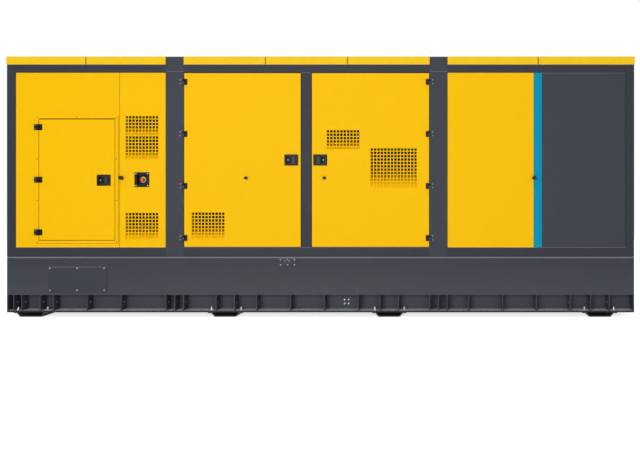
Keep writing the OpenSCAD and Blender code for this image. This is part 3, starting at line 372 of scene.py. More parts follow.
class Shape:
    # gathers closed forms into one mesh, then becomes a piece
    def __init__(self, name):
        self.name = name
        self.mesh = bmesh.new()

    def ring(self, points):
        return [self.mesh.verts.new(point) for point in points]

    def skin(self, rings, closed=False):
        # quads between rings of equal length; ends capped unless closed on itself
        for low, high in zip(rings, rings[1:] + rings[:1] if closed else rings[1:]):
            for i in range(len(low)):
                j = (i + 1) % len(low)
                self.mesh.faces.new((low[i], low[j], high[j], high[i]))
        if not closed:
            self.mesh.faces.new(list(reversed(rings[0])))
            self.mesh.faces.new(rings[-1])

    def lathe(self, profile, place, steps=16, closed=False):
        # (radius, height) pairs turned about the place's local z
        self.skin([
            self.ring(place @ Vector((x, y, height)) for x, y in around(steps, max(radius, 0.0001)))
            for radius, height in profile
        ], closed)

    def hoop(self, profile, place, steps=32):
        # closed profile turned the same way: a ring with a hole
        self.lathe(profile, place, steps, closed=True)

    def bands(self, radii, starts, wide, place, steps=32, ease=0.0):
        # flat hoops between two radii, their outer edges eased
        inner, outer = radii
        for low, high in ((start, start + wide) for start in starts):
            self.hoop([(inner, low), (outer, low + ease), (outer, high - ease), (inner, high)], place, steps)

    def bead(self, radius, wire, place, steps, sides):
        # ring of round wire
        self.hoop([(radius + out, up) for out, up in around(sides, wire)], place, steps)

    def block(self, x, y, z, bevel=0.001, front=None, place=None):
        # box between pairs of limits with its edges eased, or only those of its front at one y
        spans = [sorted(span) for span in (x, y, z)]
        made = bmesh.ops.create_cube(self.mesh, size=1)["verts"]
        for vert in made:
            vert.co = Vector(low + (part + 0.5) * (high - low) for part, (low, high) in zip(vert.co, spans))
        edges = list({edge for vert in made for edge in vert.link_edges})
        if front is not None:
            edges = [edge for edge in edges if all(abs(vert.co.y - front) < 0.0001 for vert in edge.verts)]
        if bevel:
            offset = min(bevel, *(0.45 * (high - low) for low, high in spans))
            made = bmesh.ops.bevel(self.mesh, geom=edges, offset=offset, segments=2, affect="EDGES")["verts"]
        if place:
            bmesh.ops.transform(self.mesh, matrix=place, verts=made)

    def blockAt(self, at, spans, bevel=0.001, place=None):
        # box whose limits are measured from a point
        self.block(*(off(start, span) for start, span in zip(at, spans)), bevel, place=place)

    def border(self, x, y, z, wide, bevel):
        # four strips inside a rectangle's edge, the uprights over its full height
        for strip in ((x[0], x[0] + wide), (x[1] - wide, x[1])):
            self.block(strip, y, z, bevel)
        for strip in ((z[0], z[0] + wide), (z[1] - wide, z[1])):
            self.block((x[0] + wide, x[1] - wide), y, strip, bevel)

    def tube(self, points, radius, steps=10, rounds=0):
        # round bar or hose along a path, its corners eased a few times
        path = [Vector(point) for point in points]
        for _ in range(rounds):
            eased = [end for a, b in zip(path, path[1:]) for end in (a.lerp(b, 0.25), a.lerp(b, 0.75))]
            path = [path[0]] + eased + [path[-1]]
        rings = []
        side = (path[1] - path[0]).orthogonal()
        for before, point, after in zip(path[:1] + path, path, path[1:] + path[-1:]):
            along = (after - before).normalized()
            side = (side - along * side.dot(along)).normalized()
            cross = along.cross(side)
            rings.append(self.ring(point + out * side + up * cross for out, up in around(steps, radius)))
        self.skin(rings)

    def done(self, finish, body="enclosure"):
        bmesh.ops.recalc_face_normals(self.mesh, faces=self.mesh.faces)
        data = bpy.data.meshes.new(self.name)
        self.mesh.to_mesh(data)
        self.mesh.free()
        piece = bpy.data.objects.new(self.name, data)
        bpy.context.scene.collection.objects.link(piece)
        data.materials.append(finishes[finish])
        data.polygons.foreach_set("use_smooth", [True] * len(data.polygons))
        data.set_sharp_from_angle(angle=math.radians(35))
        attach(piece, body)


boltLook = {"washer": 0.002, "ease": 0.0005, "top": 0.92, "chamfer": 0.22}
screwHead = ((1, 0), (1, 0.25), (0.86, 0.7), (0.5, 1), (0.42, 1), (0.38, 0.35), (0, 0.3))


def hexBolt(shape, at, outward, across, tall, washer):
    # washer and chamfered hexagon head, left at any turn by the spanner
    place = turnTo(at, outward)
    thick, chamfer = boltLook["washer"], boltLook["chamfer"] * tall
    edge = [(washer, 0), (washer, thick - boltLook["ease"]), (washer * boltLook["top"], thick), (0, thick)]
    shape.lathe(edge, place, 20)
    reach, top = across / math.sqrt(3), tall + thick
    turned = place @ Matrix.Rotation(math.radians(dice.uniform(0, 60)), 4, "Z")
    shape.lathe([(reach, thick), (reach, top - chamfer), (reach - 1.3 * chamfer, top)], turned, 6)


def buttonScrew(shape, at, outward, radius, tall=0.004):
    # domed head with a socket, from shares of its radius and height
    shape.lathe([(radius * out, tall * up) for out, up in screwHead], turnTo(at, outward), 18)


def bolts(shape, xs, ys, zs, outward, size):
    for at in product(xs, ys, zs):
        hexBolt(shape, at, outward, *size)


def screws(shape, xs, ys, zs, outward, *size):
    for at in product(xs, ys, zs):
        buttonScrew(shape, at, outward, *size)


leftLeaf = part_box("left_door_leaf")
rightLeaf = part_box("right_door_leaf")
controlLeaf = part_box("control_door_leaf")
faceY = leftLeaf[0].y
controlY = controlLeaf[0].y

hingeLook = {
    "gap": 0.003, "thick": 0.009, "rise": 0.020,
    "large": (0.098, 4), "small": (0.087, 3),  # distance from the leaf's ends and number on it
    "reach": 0.026, "screw": 0.006, "frameReach": 0.039, "frameScrew": 0.0068,
}


def hingeScrews(fixed, body, leaf, line, side, ends):
    # screws on both leaves of a door's hinges, and on those of the rear door behind it
    moving = Shape("hinge_bolts_" + body)
    reach, y, rearY = hingeLook["reach"], leaf[0].y - hingeLook["thick"], hingeLook["thick"] - faceY
    heights = spread(leaf[0].z, leaf[1].z, *ends)
    zs = [z + rise for z in heights for rise in about(0, hingeLook["rise"])]
    screws(moving, [line + side * reach], [y], zs, toFront, hingeLook["screw"])
    screws(fixed, [line - side * hingeLook["frameReach"]], [y], zs, toFront, hingeLook["frameScrew"])
    if body != "control_door":
        screws(fixed, about(line, reach), [rearY], zs, toRear, hingeLook["screw"])
    moving.done("black", body)


fixedScrews = Shape("hinge_bolts_fixed")
gap = hingeLook["gap"]
hingeScrews(fixedScrews, "left_door", leftLeaf, leftLeaf[0].x - gap, 1, hingeLook["large"])
hingeScrews(fixedScrews, "right_door", rightLeaf, rightLeaf[1].x + gap, -1, hingeLook["large"])
hingeScrews(fixedScrews, "control_door", controlLeaf, controlLeaf[0].x - gap, 1, hingeLook["small"])
fixedScrews.done("dull")
print("hinge screws")

latches = {  # middle of the latch, side that its lock is on, face, height and the body of its paddle
    "left_door": (leftLeaf[1].x - 0.104, -1, faceY, leftLeaf[0].z + 0.967, "left_latch"),
    "right_door": (rightLeaf[0].x + 0.092, 1, faceY, rightLeaf[0].z + 0.967, "right_latch"),
    "control_door": (controlLeaf[1].x - 0.121, -1, controlY, controlLeaf[0].z + 0.667, "control_latch"),
}
latchLook = {
    "plate": (0.154, 0.124), "plateThick": 0.006, "screwIn": (0.008, 0.009), "screw": (0.004, 0.0025),
    "well": (0.124, 0.086), "rim": 0.003, "out": 0.0065,
    "grip": (0.046, 0.074), "gripOff": -0.030, "inset": 0.004, "end": 0.0022, "endOut": 0.0014,
    "ridges": 5, "ridgePitch": 0.006, "ridge": 0.0015, "ridgeOut": 0.0018,
    "lockOff": 0.036, "lockDown": 0.003,
    "lock": [(0.0078, -0.004), (0.0078, 0.0012), (0.0068, 0.0022), (0.0036, 0.0022), (0.0032, 0.0012),
             (0, 0.0012)],
}


def latchFace(shape, x, y, z, way):
    # raised rim round the well and small screws in the corners of the plate
    (wide, tall), rim, out = latchLook["well"], latchLook["rim"], way * latchLook["out"]
    depths = (y - out, y - out * 0.75)
    shape.border(about(x, wide / 2 + rim), depths, about(z, tall / 2 + rim), rim, 0.0005)
    dx, dz = [size / 2 - inset for size, inset in zip(latchLook["plate"], latchLook["screwIn"])]
    plateY = y - way * latchLook["plateThick"]
    screws(shape, about(x, dx), [plateY], about(z, dz), (0, -way, 0), *latchLook["screw"])


def latchGrip(shape, x, y, z, side, way):
    # finger ridges along the lifting edge of the paddle
    (wide, tall), inset, end = latchLook["grip"], latchLook["inset"], latchLook["end"]
    centre = x + side * latchLook["gripOff"]
    for i in range(latchLook["ridges"]):
        ridge = about(centre + side * (wide / 2 - inset - i * latchLook["ridgePitch"]), latchLook["ridge"])
        shape.block(ridge, (y, y - way * latchLook["ridgeOut"]), about(z, tall / 2 - inset), 0.0006)
    for edge in (-1, 1):
        ends = (z + edge * tall / 2, z + edge * (tall / 2 - end))
        shape.block(about(centre, wide / 2), (y, y - way * latchLook["endOut"]), ends, 0.0005)


def lockPlug(shape, x, y, z, side, way):
    # plug of the lock with its keyway
    at = (x + side * latchLook["lockOff"], y - way * latchLook["lockDown"], z)
    shape.lathe(latchLook["lock"], turnTo(at, (0, -way, 0)), 24)


def lockPlugs():
    rear = Shape("rear_locks")
    for body, (x, side, y, z, _) in latches.items():
        plug = Shape("lock_" + body)
        lockPlug(plug, x, y, z, side, 1)
        plug.done("dull", body)
        if body != "control_door":
            lockPlug(rear, x, -y, z, side, -1)
    rear.done("dull")


def latchTrims():
    # each front latch's own pieces, and the rear latches' together
    rear = Shape("rear_latch_trim")
    for body, (x, side, y, z, latch) in latches.items():
        trim, grip = Shape("latch_trim_" + body), Shape("latch_grip_" + body)
        latchFace(trim, x, y, z, 1)
        trim.done("rim", body)
        latchGrip(grip, x, y, z, side, 1)
        grip.done("rim", latch)
        if body != "control_door":
            latchFace(rear, x, -y, z, -1)
            latchGrip(rear, x, -y, z, side, -1)
    rear.done("rim")


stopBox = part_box("e_stop_housing")
stopLook = {"boltPitch": 0.131, "screw": 0.007, "collarAt": 0.056, "collar": (0.0145, 0.0335), "thick": 0.003}


def emergencyStop():
    # screws of the plate and the collar round the button
    low, high = stopBox
    x, y, z, half = (low.x + high.x) / 2, low.y, (low.z + high.z) / 2, stopLook["boltPitch"] / 2
    plate = Shape("e_stop_bolts")
    screws(plate, about(x, half), [y], about(z, half), toFront, stopLook["screw"])
    plate.done("zinc")
    (inner, outer), thick = stopLook["collar"], stopLook["thick"]
    profile = [(inner, 0), (inner, thick), (outer - 0.001, thick), (outer, thick - 0.001), (outer, 0)]
    collar = Shape("e_stop_collar")
    collar.hoop(profile, turnTo((x, y + stopLook["collarAt"], z), toFront), 40)
    collar.done("cream")


lockPlugs()
latchTrims()
emergencyStop()
print("latches and emergency stop")
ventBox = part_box("vent_scoops")
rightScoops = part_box("right_door_scoops")
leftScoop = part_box("left_door_scoop")
# scoops behind the grilles, and the sheets in them that carry painted shade
lining = {
    "row": 0.0375, "wide": 0.3725, "wideLarge": 0.5225,  # pitch of the grille's rows, widths of the scoops
    "bare": 0.09, "off": 0.004, "deep": 0.157,  # share of the foot left bare, depths of the tray at its ends
    "lip": 0.004, "back": 0.0045, "side": 0.005, "top": 0.006, "thick": (0.003, 0.006), "cheek": 0.003,
}


def scoopPlaces():
    # body that carries the front one, left edge, width, foot and height of every scoop
    row, wide, large = lining["row"], lining["wide"], lining["wideLarge"]
    return [
        ("enclosure", ventBox[0].x, wide, ventBox[0].z, 8 * row),
        ("enclosure", ventBox[0].x, wide, ventBox[1].z - 13 * row, 7 * row),
        ("enclosure", ventBox[0].x, wide, ventBox[1].z - 6 * row, 6 * row),
        ("left_door", leftScoop[0].x, wide, leftScoop[0].z, 8 * row),
        ("right_door", rightScoops[0].x, wide, rightScoops[1].z - 6 * row, 6 * row),
        ("right_door", rightScoops[1].x - large, large, rightScoops[0].z, 12 * row),
    ]


def shadeScoop(shape, left, wide, foot, tall, way):
    # sheet on the sloping tray and on one cheek, carrying the painted shade inside the scoop
    front, back, side = faceY + lining["off"], faceY - lining["back"], lining["side"]
    slope = (lining["deep"] - lining["off"]) / (tall - lining["lip"])
    low, high = foot + lining["bare"] * tall, foot + tall - lining["top"]
    near, far = back + slope * (low - foot), back + slope * (high - foot)
    thinEnd, thickEnd = lining["thick"]
    sheet = [(near, low), (far, high), (far - thickEnd, high), (near - thinEnd, low)]
    cheek = [(front, low), (near, low), (far, high), (front, high)]
    right = left + wide
    edge = right - lining["back"]
    for outline, ends in ((sheet, (left + side, right - side)), (cheek, (edge, edge - lining["cheek"]))):
        shape.skin([shape.ring((x, way * y, z) for y, z in outline) for x in ends])


def grilleShadeSheets():
    # painted shade sheets in every scoop, front and rear
    shadeSheets = {body: Shape("grille_shade_sheet_" + body) for body in ("enclosure", "left_door", "right_door")}
    for body, *scoop in scoopPlaces():
        shadeScoop(shadeSheets[body], *scoop, 1)
        shadeScoop(shadeSheets["enclosure"], *scoop, -1)
    for body, shape in shadeSheets.items():
        shape.done("tray", body)


grilleShadeSheets()
print("grille linings")

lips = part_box("door_lip_sides")
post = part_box("door_posts")
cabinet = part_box("control_cabinet")
sealLook = {"wide": 0.018, "thick": 0.005, "inset": 0.003, "ease": 0.002}
edgeStrip = {"thick": 0.0025, "depths": (0.002, 0.052), "end": 0.001}
headStrip = {"past": 0.0025, "depths": (0.002, 0.044), "up": (0.007, 0.010)}
cabinetSeal = {"inset": 0.008, "wide": 0.016, "out": (-0.0035, 0), "ease": 0.0012}
doorSeal = {"inset": 0.010, "wide": 0.014, "out": (-0.001, 0.004), "ease": 0.0015}


def sealBox(shape, box, y, look):
    x, z = [inside(box, axis, look["inset"]) for axis in "xz"]
    shape.border(x, off(y, look["out"]), z, look["wide"], look["ease"])


def doorSeals():
    # rubber round the large doors' openings, on the control cabinet and on the back of its door, and dark
    # strips in the gaps beside and over the doors as painted shade
    seals, inset = Shape("door_seals_and_gap_shade"), sealLook["inset"]
    openings = ((lips[0].x, post[0].x), (post[1].x, lips[1].x))
    for way, (left, right) in product((1, -1), openings):
        y = (way * lips[0].y, way * (lips[0].y - sealLook["thick"]))
        z = inside(lips, "z", inset)
        seals.border((left + inset, right - inset), y, z, sealLook["wide"], sealLook["ease"])
        # dark rubber strips on both sides of each opening, painted shade in the gaps beside the doors
        y = [way * depth for depth in off(faceY, edgeStrip["depths"])]
        for x, side in ((left, 1), (right, -1)):
            seals.block((x, x + side * edgeStrip["thick"]), y, inside(lips, "z", edgeStrip["end"]), 0)
    # dark strip over the control door, painted shade in its top gap
    y, z = off(faceY, headStrip["depths"]), off(controlLeaf[1].z, headStrip["up"])
    seals.block(inside(controlLeaf, "x", -headStrip["past"]), y, z, 0)
    sealBox(seals, cabinet, cabinet[0].y, cabinetSeal)
    seals.done("rubber")
    seal = Shape("control_door_seal")
    sealBox(seal, controlLeaf, controlLeaf[1].y, doorSeal)
    seal.done("rubber", "control_door")


doorSeals()
print("door seals")

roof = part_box("roof_panels")
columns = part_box("lifting_columns")
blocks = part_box("lifting_blocks")
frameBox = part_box("control_frame_sides")
third = (lips[1].x - lips[0].x) / 3
seams = (
    (roof[0].x + columns[0].x) / 2, lips[0].x + third, lips[0].x + 2 * third,
    columns[1].x + 0.484 * (roof[1].x - columns[1].x),
)
seamLook = {"wide": 0.0085, "depths": (-0.0012, 0.0005), "bead": 0.002, "beadOut": 0.0035}
lifting = {"outer": 0.0238, "inner": 0.0205, "x": (-1.625, 1.314), "y": 1.06, "below": 0.0006, "deep": 0.030}
roofLook = {**brightLook, "joints": seams, "joint": seamLook["wide"]}
# the roof's yellow a little paler than the walls', painted light on the canopy's top
roofCoat = powderCoat("yellowCoatRoof", (251, 204, 32), **roofLook)
nodes["roof_panels"].data.materials[0] = roofCoat


def roofSeamsAndFrameShadow():
    # sealant down the roof's sides at each seam, and a dark bead along the control frame's lower and right
    # edges as a painted shadow
    sealant, bead = Shape("roof_seams_and_frame_shadow"), seamLook["bead"]
    for x, way in product(seams, (1, -1)):
        y = [way * depth for depth in off(roof[0].y, seamLook["depths"])]
        sealant.block(about(x, seamLook["wide"] / 2), y, inside(roof, "z", 0.001), 0.0008)
    # painted shadow: a dark bead below the control frame and down its right side
    (left, _, low), (right, _, high) = frameBox
    y = (faceY - seamLook["beadOut"], faceY)
    sealant.block((left, right + bead), y, (low - bead, low), 0.0006)
    sealant.block((right, right + bead), y, (low, high), 0.0006)
    sealant.done("rubber")


def liftingRings():
    # liner at the mouth of each lifting hole
    inner, outer, deep = lifting["inner"], lifting["outer"], lifting["deep"]
    profile = [(inner, -deep), (inner, -0.002), (inner + 0.0015, 0), (outer, 0), (outer, -deep)]
    rings = Shape("lifting_hole_rings")
    for x, y in product(lifting["x"], about(0, lifting["y"])):
        rings.hoop(profile, turnTo((x, y, blocks[1].z - lifting["below"]), toTop))
    rings.done("zinc")


wallScrew = {"inset": 0.020, "end": 0.06, "pitch": 0.305, "radius": 0.0065}
frameScrew = {"inset": 0.018, "rows": 4, "radius": 0.006}
inlet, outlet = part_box("inlet_end_wall"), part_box("outlet_end_wall")


def wallScrews():
    # screws along the edges of both end walls
    trim = Shape("panel_screws")
    for wall, x, outward in ((inlet, inlet[0].x, toLeft), (outlet, outlet[1].x, toRight)):
        count = round((wall[1].z - wall[0].z) / wallScrew["pitch"])
        zs = spread(wall[0].z, wall[1].z, wallScrew["end"], count)
        screws(trim, [x], inside(wall, "y", wallScrew["inset"]), zs, outward, wallScrew["radius"])
    trim.done("zinc")


def frameScrews():
    # screws down both sides of the control door's frame and one in the middle of its top
    trim, y, radius = Shape("control_frame_screws"), [frameBox[0].y], frameScrew["radius"]
    xs = inside(frameBox, "x", frameScrew["inset"])
    zs = spread(frameBox[0].z, frameBox[1].z, frameScrew["inset"], frameScrew["rows"])
    screws(trim, xs, y, zs, toFront, radius)
    screws(trim, [sum(xs) / 2], y, zs[-1:], toFront, radius)
    trim.done("bronze")


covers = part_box("tank_covers")
coverLook = {
    "thick": 0.006, "inset": 0.016, "columns": (0, 0.302, 0.604), "rows": (0.029, 0.274),
    "bolt": (0.011, 0.005, 0.0095),
}
fittingLook = {
    "left": -0.461, "wide": 0.185, "tall": 0.089, "columns": (0.016, 0.094, 0.172), "rows": (0.016, 0.073),
    "bolt": (0.0085, 0.005, 0.0078),
}
capLook = {"shares": (0.36, 0.62), "height": 0.64, "radius": 0.0135, "proud": 0.002, "skirt": 0.008}


def tankCovers():
    # bolts of the cover plate and of the fittings plate, and the caps of the two fittings
    trim, y = Shape("cover_bolts"), [faceY - coverLook["thick"]]
    for look, left, low in (
        (coverLook, covers[0].x + coverLook["inset"], covers[0].z),
        (fittingLook, fittingLook["left"], covers[1].z - fittingLook["tall"]),
    ):
        bolts(trim, off(left, look["columns"]), y, off(low, look["rows"]), toFront, look["bolt"])
    trim.done("dull")
    caps, radius, proud = Shape("fitting_caps"), capLook["radius"], capLook["proud"]
    profile = [(radius, -capLook["skirt"]), (radius, proud / 2), (radius - 0.001, proud), (0, proud)]
    z = low + capLook["height"] * fittingLook["tall"]
    for share in capLook["shares"]:
        caps.lathe(profile, turnTo((left + share * fittingLook["wide"], covers[0].y, z), toFront), 24)
    caps.done("cast")


feet = {
    "x": (-3.228, -1.062, 0.764, 3.112), "half": 0.164, "behind": 0.060, "deck": 0.072,
    "bolt": (0.030, 0.016, 0.021), "stud": [(0.008, 0.016), (0.008, 0.032), (0.007, 0.034), (0, 0.034)],
}
web = {"x": (0.252, 0.297), "z": (0.126, 0.171), "behind": 0.177, "bolt": (0.013, 0.006, 0.0095)}


def baseBolts():
    # bolts with studs on the feet's flanges and four bolts on the base rail's web
    flange, behind = Shape("foot_bolts"), faceY + feet["behind"]
    for x, y in product([x for middle in feet["x"] for x in about(middle, feet["half"])], (behind, -behind)):
        hexBolt(flange, (x, y, feet["deck"]), toTop, *feet["bolt"])
        flange.lathe(feet["stud"], turnTo((x, y, feet["deck"]), toTop), 14)
    flange.done("zinc")
    trim = Shape("web_bolts")
    bolts(trim, web["x"], [faceY + web["behind"]], web["z"], toFront, web["bolt"])
    trim.done("zinc")


roofSeamsAndFrameShadow()
liftingRings()
wallScrews()
frameScrews()
tankCovers()
baseBolts()
print("roof seams, lifting rings, screws and bolts")

foamSheet = {
    "tile": 0.62, "gap": 0.0004, "thick": 0.024, "bevel": 0.007, "edge": 0.034, "lockStrip": 0.075,
    "round": 0.012, "clear": 0.03, "washers": (4, 6),
    "washer": [(0.016, -0.001), (0.016, 0.0008), (0.005, 0.0022), (0, 0.0022)],
}
bayFoam = {
    "left": 0.03, "right": 0.02, "end": 0.03, "side": 0.035,
    "rows": ((-1.1, -0.38), (-0.36, 0.36), (0.38, 1.1)), "roof": (-0.055, -0.031),
}


def within(hole, x, z, past=0.0):
    return hole[0] - past < x < hole[1] + past and hole[2] - past < z < hole[3] + past


def tiles(shape, x, z, y, holes):
    # foam tiles over a rectangle, cut round the holes (left, right, low, high)
    cuts = []
    for (low, high), sides in ((x, slice(0, 2)), (z, slice(2, 4))):
        even = spread(low, high, 0, round((high - low) / foamSheet["tile"]) + 1)
        cuts.append(sorted({*even, *(v for hole in holes for v in hole[sides] if low < v < high)}))
    gap = foamSheet["gap"] / 2
    for (left, right), (low, high) in product(*(zip(row, row[1:]) for row in cuts)):
        if not any(within(hole, (left + right) / 2, (low + high) / 2) for hole in holes):
            bevel = min(foamSheet["bevel"], (right - left) / 3, (high - low) / 3)
            shape.block((left + gap, right - gap), y, (low + gap, high - gap), bevel, min(y, key=abs))


def washers(shape, x, z, y, way, holes):
    # large washers that hold the foam, on a regular grid
    across, up = [
        spread(low, high, (high - low) / count / 2, count)
        for (low, high), count in zip((x, z), foamSheet["washers"])
    ]
    for atX, atZ in product(across, up):
        if not any(within(hole, atX, atZ, foamSheet["clear"]) for hole in holes):
            shape.lathe(foamSheet["washer"], turnTo((atX, y, atZ), (0, way, 0)), 14)


def doorFoam(body, leaf, lockSide):
    # lining of a front door and of the rear door behind it
    rim, thick = foamSheet["round"], foamSheet["thick"]
    x, z = list(inside(leaf, "x", foamSheet["edge"])), inside(leaf, "z", foamSheet["edge"])
    x[1 if lockSide > 0 else 0] -= lockSide * foamSheet["lockStrip"]
    holes = [
        (left - rim, left + wide + rim, foot - rim, foot + tall + rim)
        for carrier, left, wide, foot, tall in scoopPlaces() if carrier == body
    ]
    for kind, carrier, way in (("door_foam_", body, 1), ("rear_foam_", "enclosure", -1)):
        lined, pins = Shape(kind + body), Shape(kind + "pins_" + body)
        back = way * leaf[1].y
        tiles(lined, x, z, (back, back + way * thick), holes)
        washers(pins, x, z, back + way * thick, way, holes)
        lined.done("foam", carrier)
        pins.done("dull", carrier)


def wallFoam():
    # lining of the rear panel and of the roof over the engine
    lined, panel = Shape("bay_foam"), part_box("rear_panels")
    x = (panel[0].x + bayFoam["left"], ventBox[0].x - bayFoam["right"])
    tiles(lined, x, inside(panel, "z", bayFoam["end"]), (panel[0].y - foamSheet["thick"], panel[0].y), [])
    joints, side, z = (lips[0].x, *seams[1:3], lips[1].x), bayFoam["side"], off(roof[1].z, bayFoam["roof"])
    for (left, right), y in product(zip(joints, joints[1:]), bayFoam["rows"]):
        lined.block((left + side, right - side), y, z, foamSheet["bevel"])
    lined.done("foam")


doorFoam("left_door", leftLeaf, 1)
doorFoam("right_door", rightLeaf, -1)
wallFoam()
print("sound lining")

rodLook = {
    "radius": 0.006, "in": 0.052, "depth": 0.0085, "end": 0.052, "fromLatch": 0.07,
    "case": (0.0375, 0.075, 0.024), "caseScrews": (0.028, 0.055), "caseScrew": (0.005, 0.003),
    "guides": 6, "guideEnd": 0.04, "clear": 0.12,
    "guide": ((0.022, 0.003, 0.012, 0.0008), (0.009, 0.017, 0.008, 0.002)),  # half sizes, out and bevel
    "screwOff": 0.016, "screwOut": 0.003, "screw": (0.004, 0.002),
}


def lockRods(body, leaf, rodX):
    # lock case, two rods and their guides behind a front door and behind the rear one
    look, z = rodLook, latches[body][3]
    (half, tall, deep), (low, high) = look["case"], inside(leaf, "z", look["end"])
    for name, carrier, way in (("", body, 1), ("rear_", "enclosure", -1)):
        rods, back, outward = Shape(name + "lock_rods_" + body), way * leaf[1].y, (0, way, 0)
        for ends in ((low, z - look["fromLatch"]), (z + look["fromLatch"], high)):
            rods.tube([(rodX, back + way * look["depth"], end) for end in ends], look["radius"], 12)
        case = back + way * deep
        rods.block(about(rodX, half), (back, case), about(z, tall), 0.003)
        dx, dz = look["caseScrews"]
        screws(rods, about(rodX, dx), [case], about(z, dz), outward, *look["caseScrew"])
        for at in spread(low, high, look["guideEnd"], look["guides"]):
            if abs(at - z) > look["clear"]:
                for wide, out, up, bevel in look["guide"]:
                    rods.block(about(rodX, wide), (back, back + way * out), about(at, up), bevel)
                y = [back + way * look["screwOut"]]
                screws(rods, about(rodX, look["screwOff"]), y, [at], outward, *look["screw"])
        rods.done("dull", carrier)


lockRods("left_door", leftLeaf, leftLeaf[1].x - rodLook["in"])
lockRods("right_door", rightLeaf, rightLeaf[0].x + rodLook["in"])
print("lock rods")

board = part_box("control_panel")
midX = (board[0].x + board[1].x) / 2
boardY = board[1].y - 0.060  # face of the panel behind the controls
controllerLook = {
    "tall": 0.240, "topGap": 0.120, "out": 0.025, "bezel": ((-0.162, 0.162), (-0.004, 0), (-0.232, -0.008)),
    "keys": [(0.013, 0), (0.013, 0.002), (0.0115, 0.0035), (0, 0.0035)], "keyPitch": 0.044, "keysUp": 0.04,
    "screen": ((-0.115, 0.055), (-0.0055, -0.003), (-0.135, -0.035)),
}
buttonLook = {
    "pitch": 0.090, "out": 0.022, "lampAt": (0.085, 0.045), "lampPitch": 0.028,
    "cap": [(0.0125, 0), (0.0125, 0.004), (0.0105, 0.0075), (0.006, 0.0095), (0, 0.0098)],
    "ring": [(0.0155, 0), (0.0155, 0.020), (0.019, 0.017), (0.0215, 0.004), (0.0215, 0)],
    "lamp": [(0.004, 0), (0.004, 0.0015), (0.002, 0.003), (0, 0.003)],
    "screws": 5, "screwIn": 0.016, "screw": 0.006,
    "caps": (  # name, finish and columns
        ("green", "green", (0,)), ("red", "red", (1,)), ("amber", "amber", (2,)), ("clear", "pale", (3, 4)),
    ),
}
panelTop = board[1].z - controllerLook["topGap"]
panelFace = boardY - controllerLook["out"]
keysY = panelFace + controllerLook["bezel"][1][0]
buttonsZ = panelTop - controllerLook["tall"]


def controller():
    # bezel with its row of keys, and the screen
    look, bezel, screen = controllerLook, Shape("controller_bezel"), Shape("controller_screen")
    bezel.blockAt((midX, panelFace, panelTop), look["bezel"], 0.003)
    for i in range(6):
        at = (midX + (i - 2.5) * look["keyPitch"], keysY, buttonsZ + look["keysUp"])
        bezel.lathe(look["keys"], turnTo(at, toFront), 20)
    bezel.done("black")
    screen.blockAt((midX, panelFace, panelTop), look["screen"])
    screen.done("glass")


def buttons():
    # two rows of push buttons, a column of lamps and the screws of the panel
    look, rings = buttonLook, Shape("control_rings")
    columns, rows = [[start + i * look["pitch"] for i in range(count)] for start, count in (
        (midX - 2 * look["pitch"], 5), (buttonsZ - 2 * look["pitch"], 2),
    )]
    lampX, lampDown = look["lampAt"]
    for name, finish, picks in look["caps"]:
        caps = Shape("control_caps_" + name)
        for i in picks:
            for z in rows:
                caps.lathe(look["cap"], turnTo((columns[i], boardY - look["out"], z), toFront), 24)
            at = (midX + lampX, keysY, panelTop - lampDown - i * look["lampPitch"])
            caps.lathe(look["lamp"], turnTo(at, toFront), 14)
        caps.done(finish)
    for x, z in product(columns, rows):
        rings.hoop(look["ring"], turnTo((x, boardY, z), toFront), 28)
    zs = spread(board[0].z, board[1].z, look["screwIn"], look["screws"])
    screws(rings, inside(board, "x", look["screwIn"]), [boardY], zs, toFront, look["screw"])
    rings.done("zinc")


breakerLook = {
    "up": 0.290, "out": 0.020, "half": 0.188, "strip": 0.018, "proud": 0.005,
    "plate": ((-0.055, 0.055), (-0.012, 0), (-0.09, 0.09)),
    "handle": ((-0.016, 0.016), (-0.042, -0.010), (0.01, 0.06)),
    "slot": ((-0.004, 0.004), (-0.0035, 0), (-0.155, -0.115)), "slots": 14, "row": 0.15,
}


def mainBreaker():
    # raised edge, plate, handle and vent slots of the main breaker's cover
    look, breaker = breakerLook, Shape("breaker_cover")
    y, z = boardY - look["out"], board[0].z + look["up"]
    spans = [about(middle, look["half"]) for middle in (midX, z)]
    breaker.border(spans[0], (y - look["proud"], y), spans[1], look["strip"], 0.0015)
    breaker.blockAt((midX, y, z), look["plate"], 0.004)
    breaker.blockAt((midX, y, z), look["handle"], 0.006)
    for x in spread(*about(midX, look["row"]), 0, look["slots"]):
        breaker.blockAt((x, y, z), look["slot"])
    breaker.done("black")


moduleLook = {
    "up": 0.565, "count": 12, "first": -0.15, "pitch": 0.0272,
    "rail": ((-0.16, 0.16), (-0.006, 0), (-0.012, 0.012)),
    "body": ((-0.0075, 0.0170), (-0.040, -0.004), (-0.042, 0.042)),
    "nose": ((-0.0055, 0.014), (-0.052, -0.038), (-0.022, 0.022)),
    "toggle": ((0.0005, 0.009), (-0.062, -0.050), (0.001, 0.014)),
}


def smallBreakers():
    # row of small breakers on their rail, above the main one
    look, z = moduleLook, board[0].z + moduleLook["up"]
    modules, toggles = Shape("small_breakers"), Shape("small_breaker_toggles")
    modules.blockAt((midX, boardY, z), look["rail"])
    for i in range(look["count"]):
        at = (midX + look["first"] + i * look["pitch"], boardY, z)
        modules.blockAt(at, look["body"], 0.002)
        modules.blockAt(at, look["nose"], 0.0025)
        toggles.blockAt(at, look["toggle"], 0.002)
    modules.done("pale")
    toggles.done("black")


ductLook = {
    "in": 0.051, "end": 0.03,
    "back": ((-0.016, 0.016), (-0.002, 0)), "lid": ((-0.017, 0.017), (-0.045, -0.042)),
    "walls": ((-0.016, -0.0135), (0.0135, 0.016)), "wall": (-0.042, -0.001),
    "teeth": 58, "first": 0.005, "pitch": 0.020, "tooth": 0.0125,
}


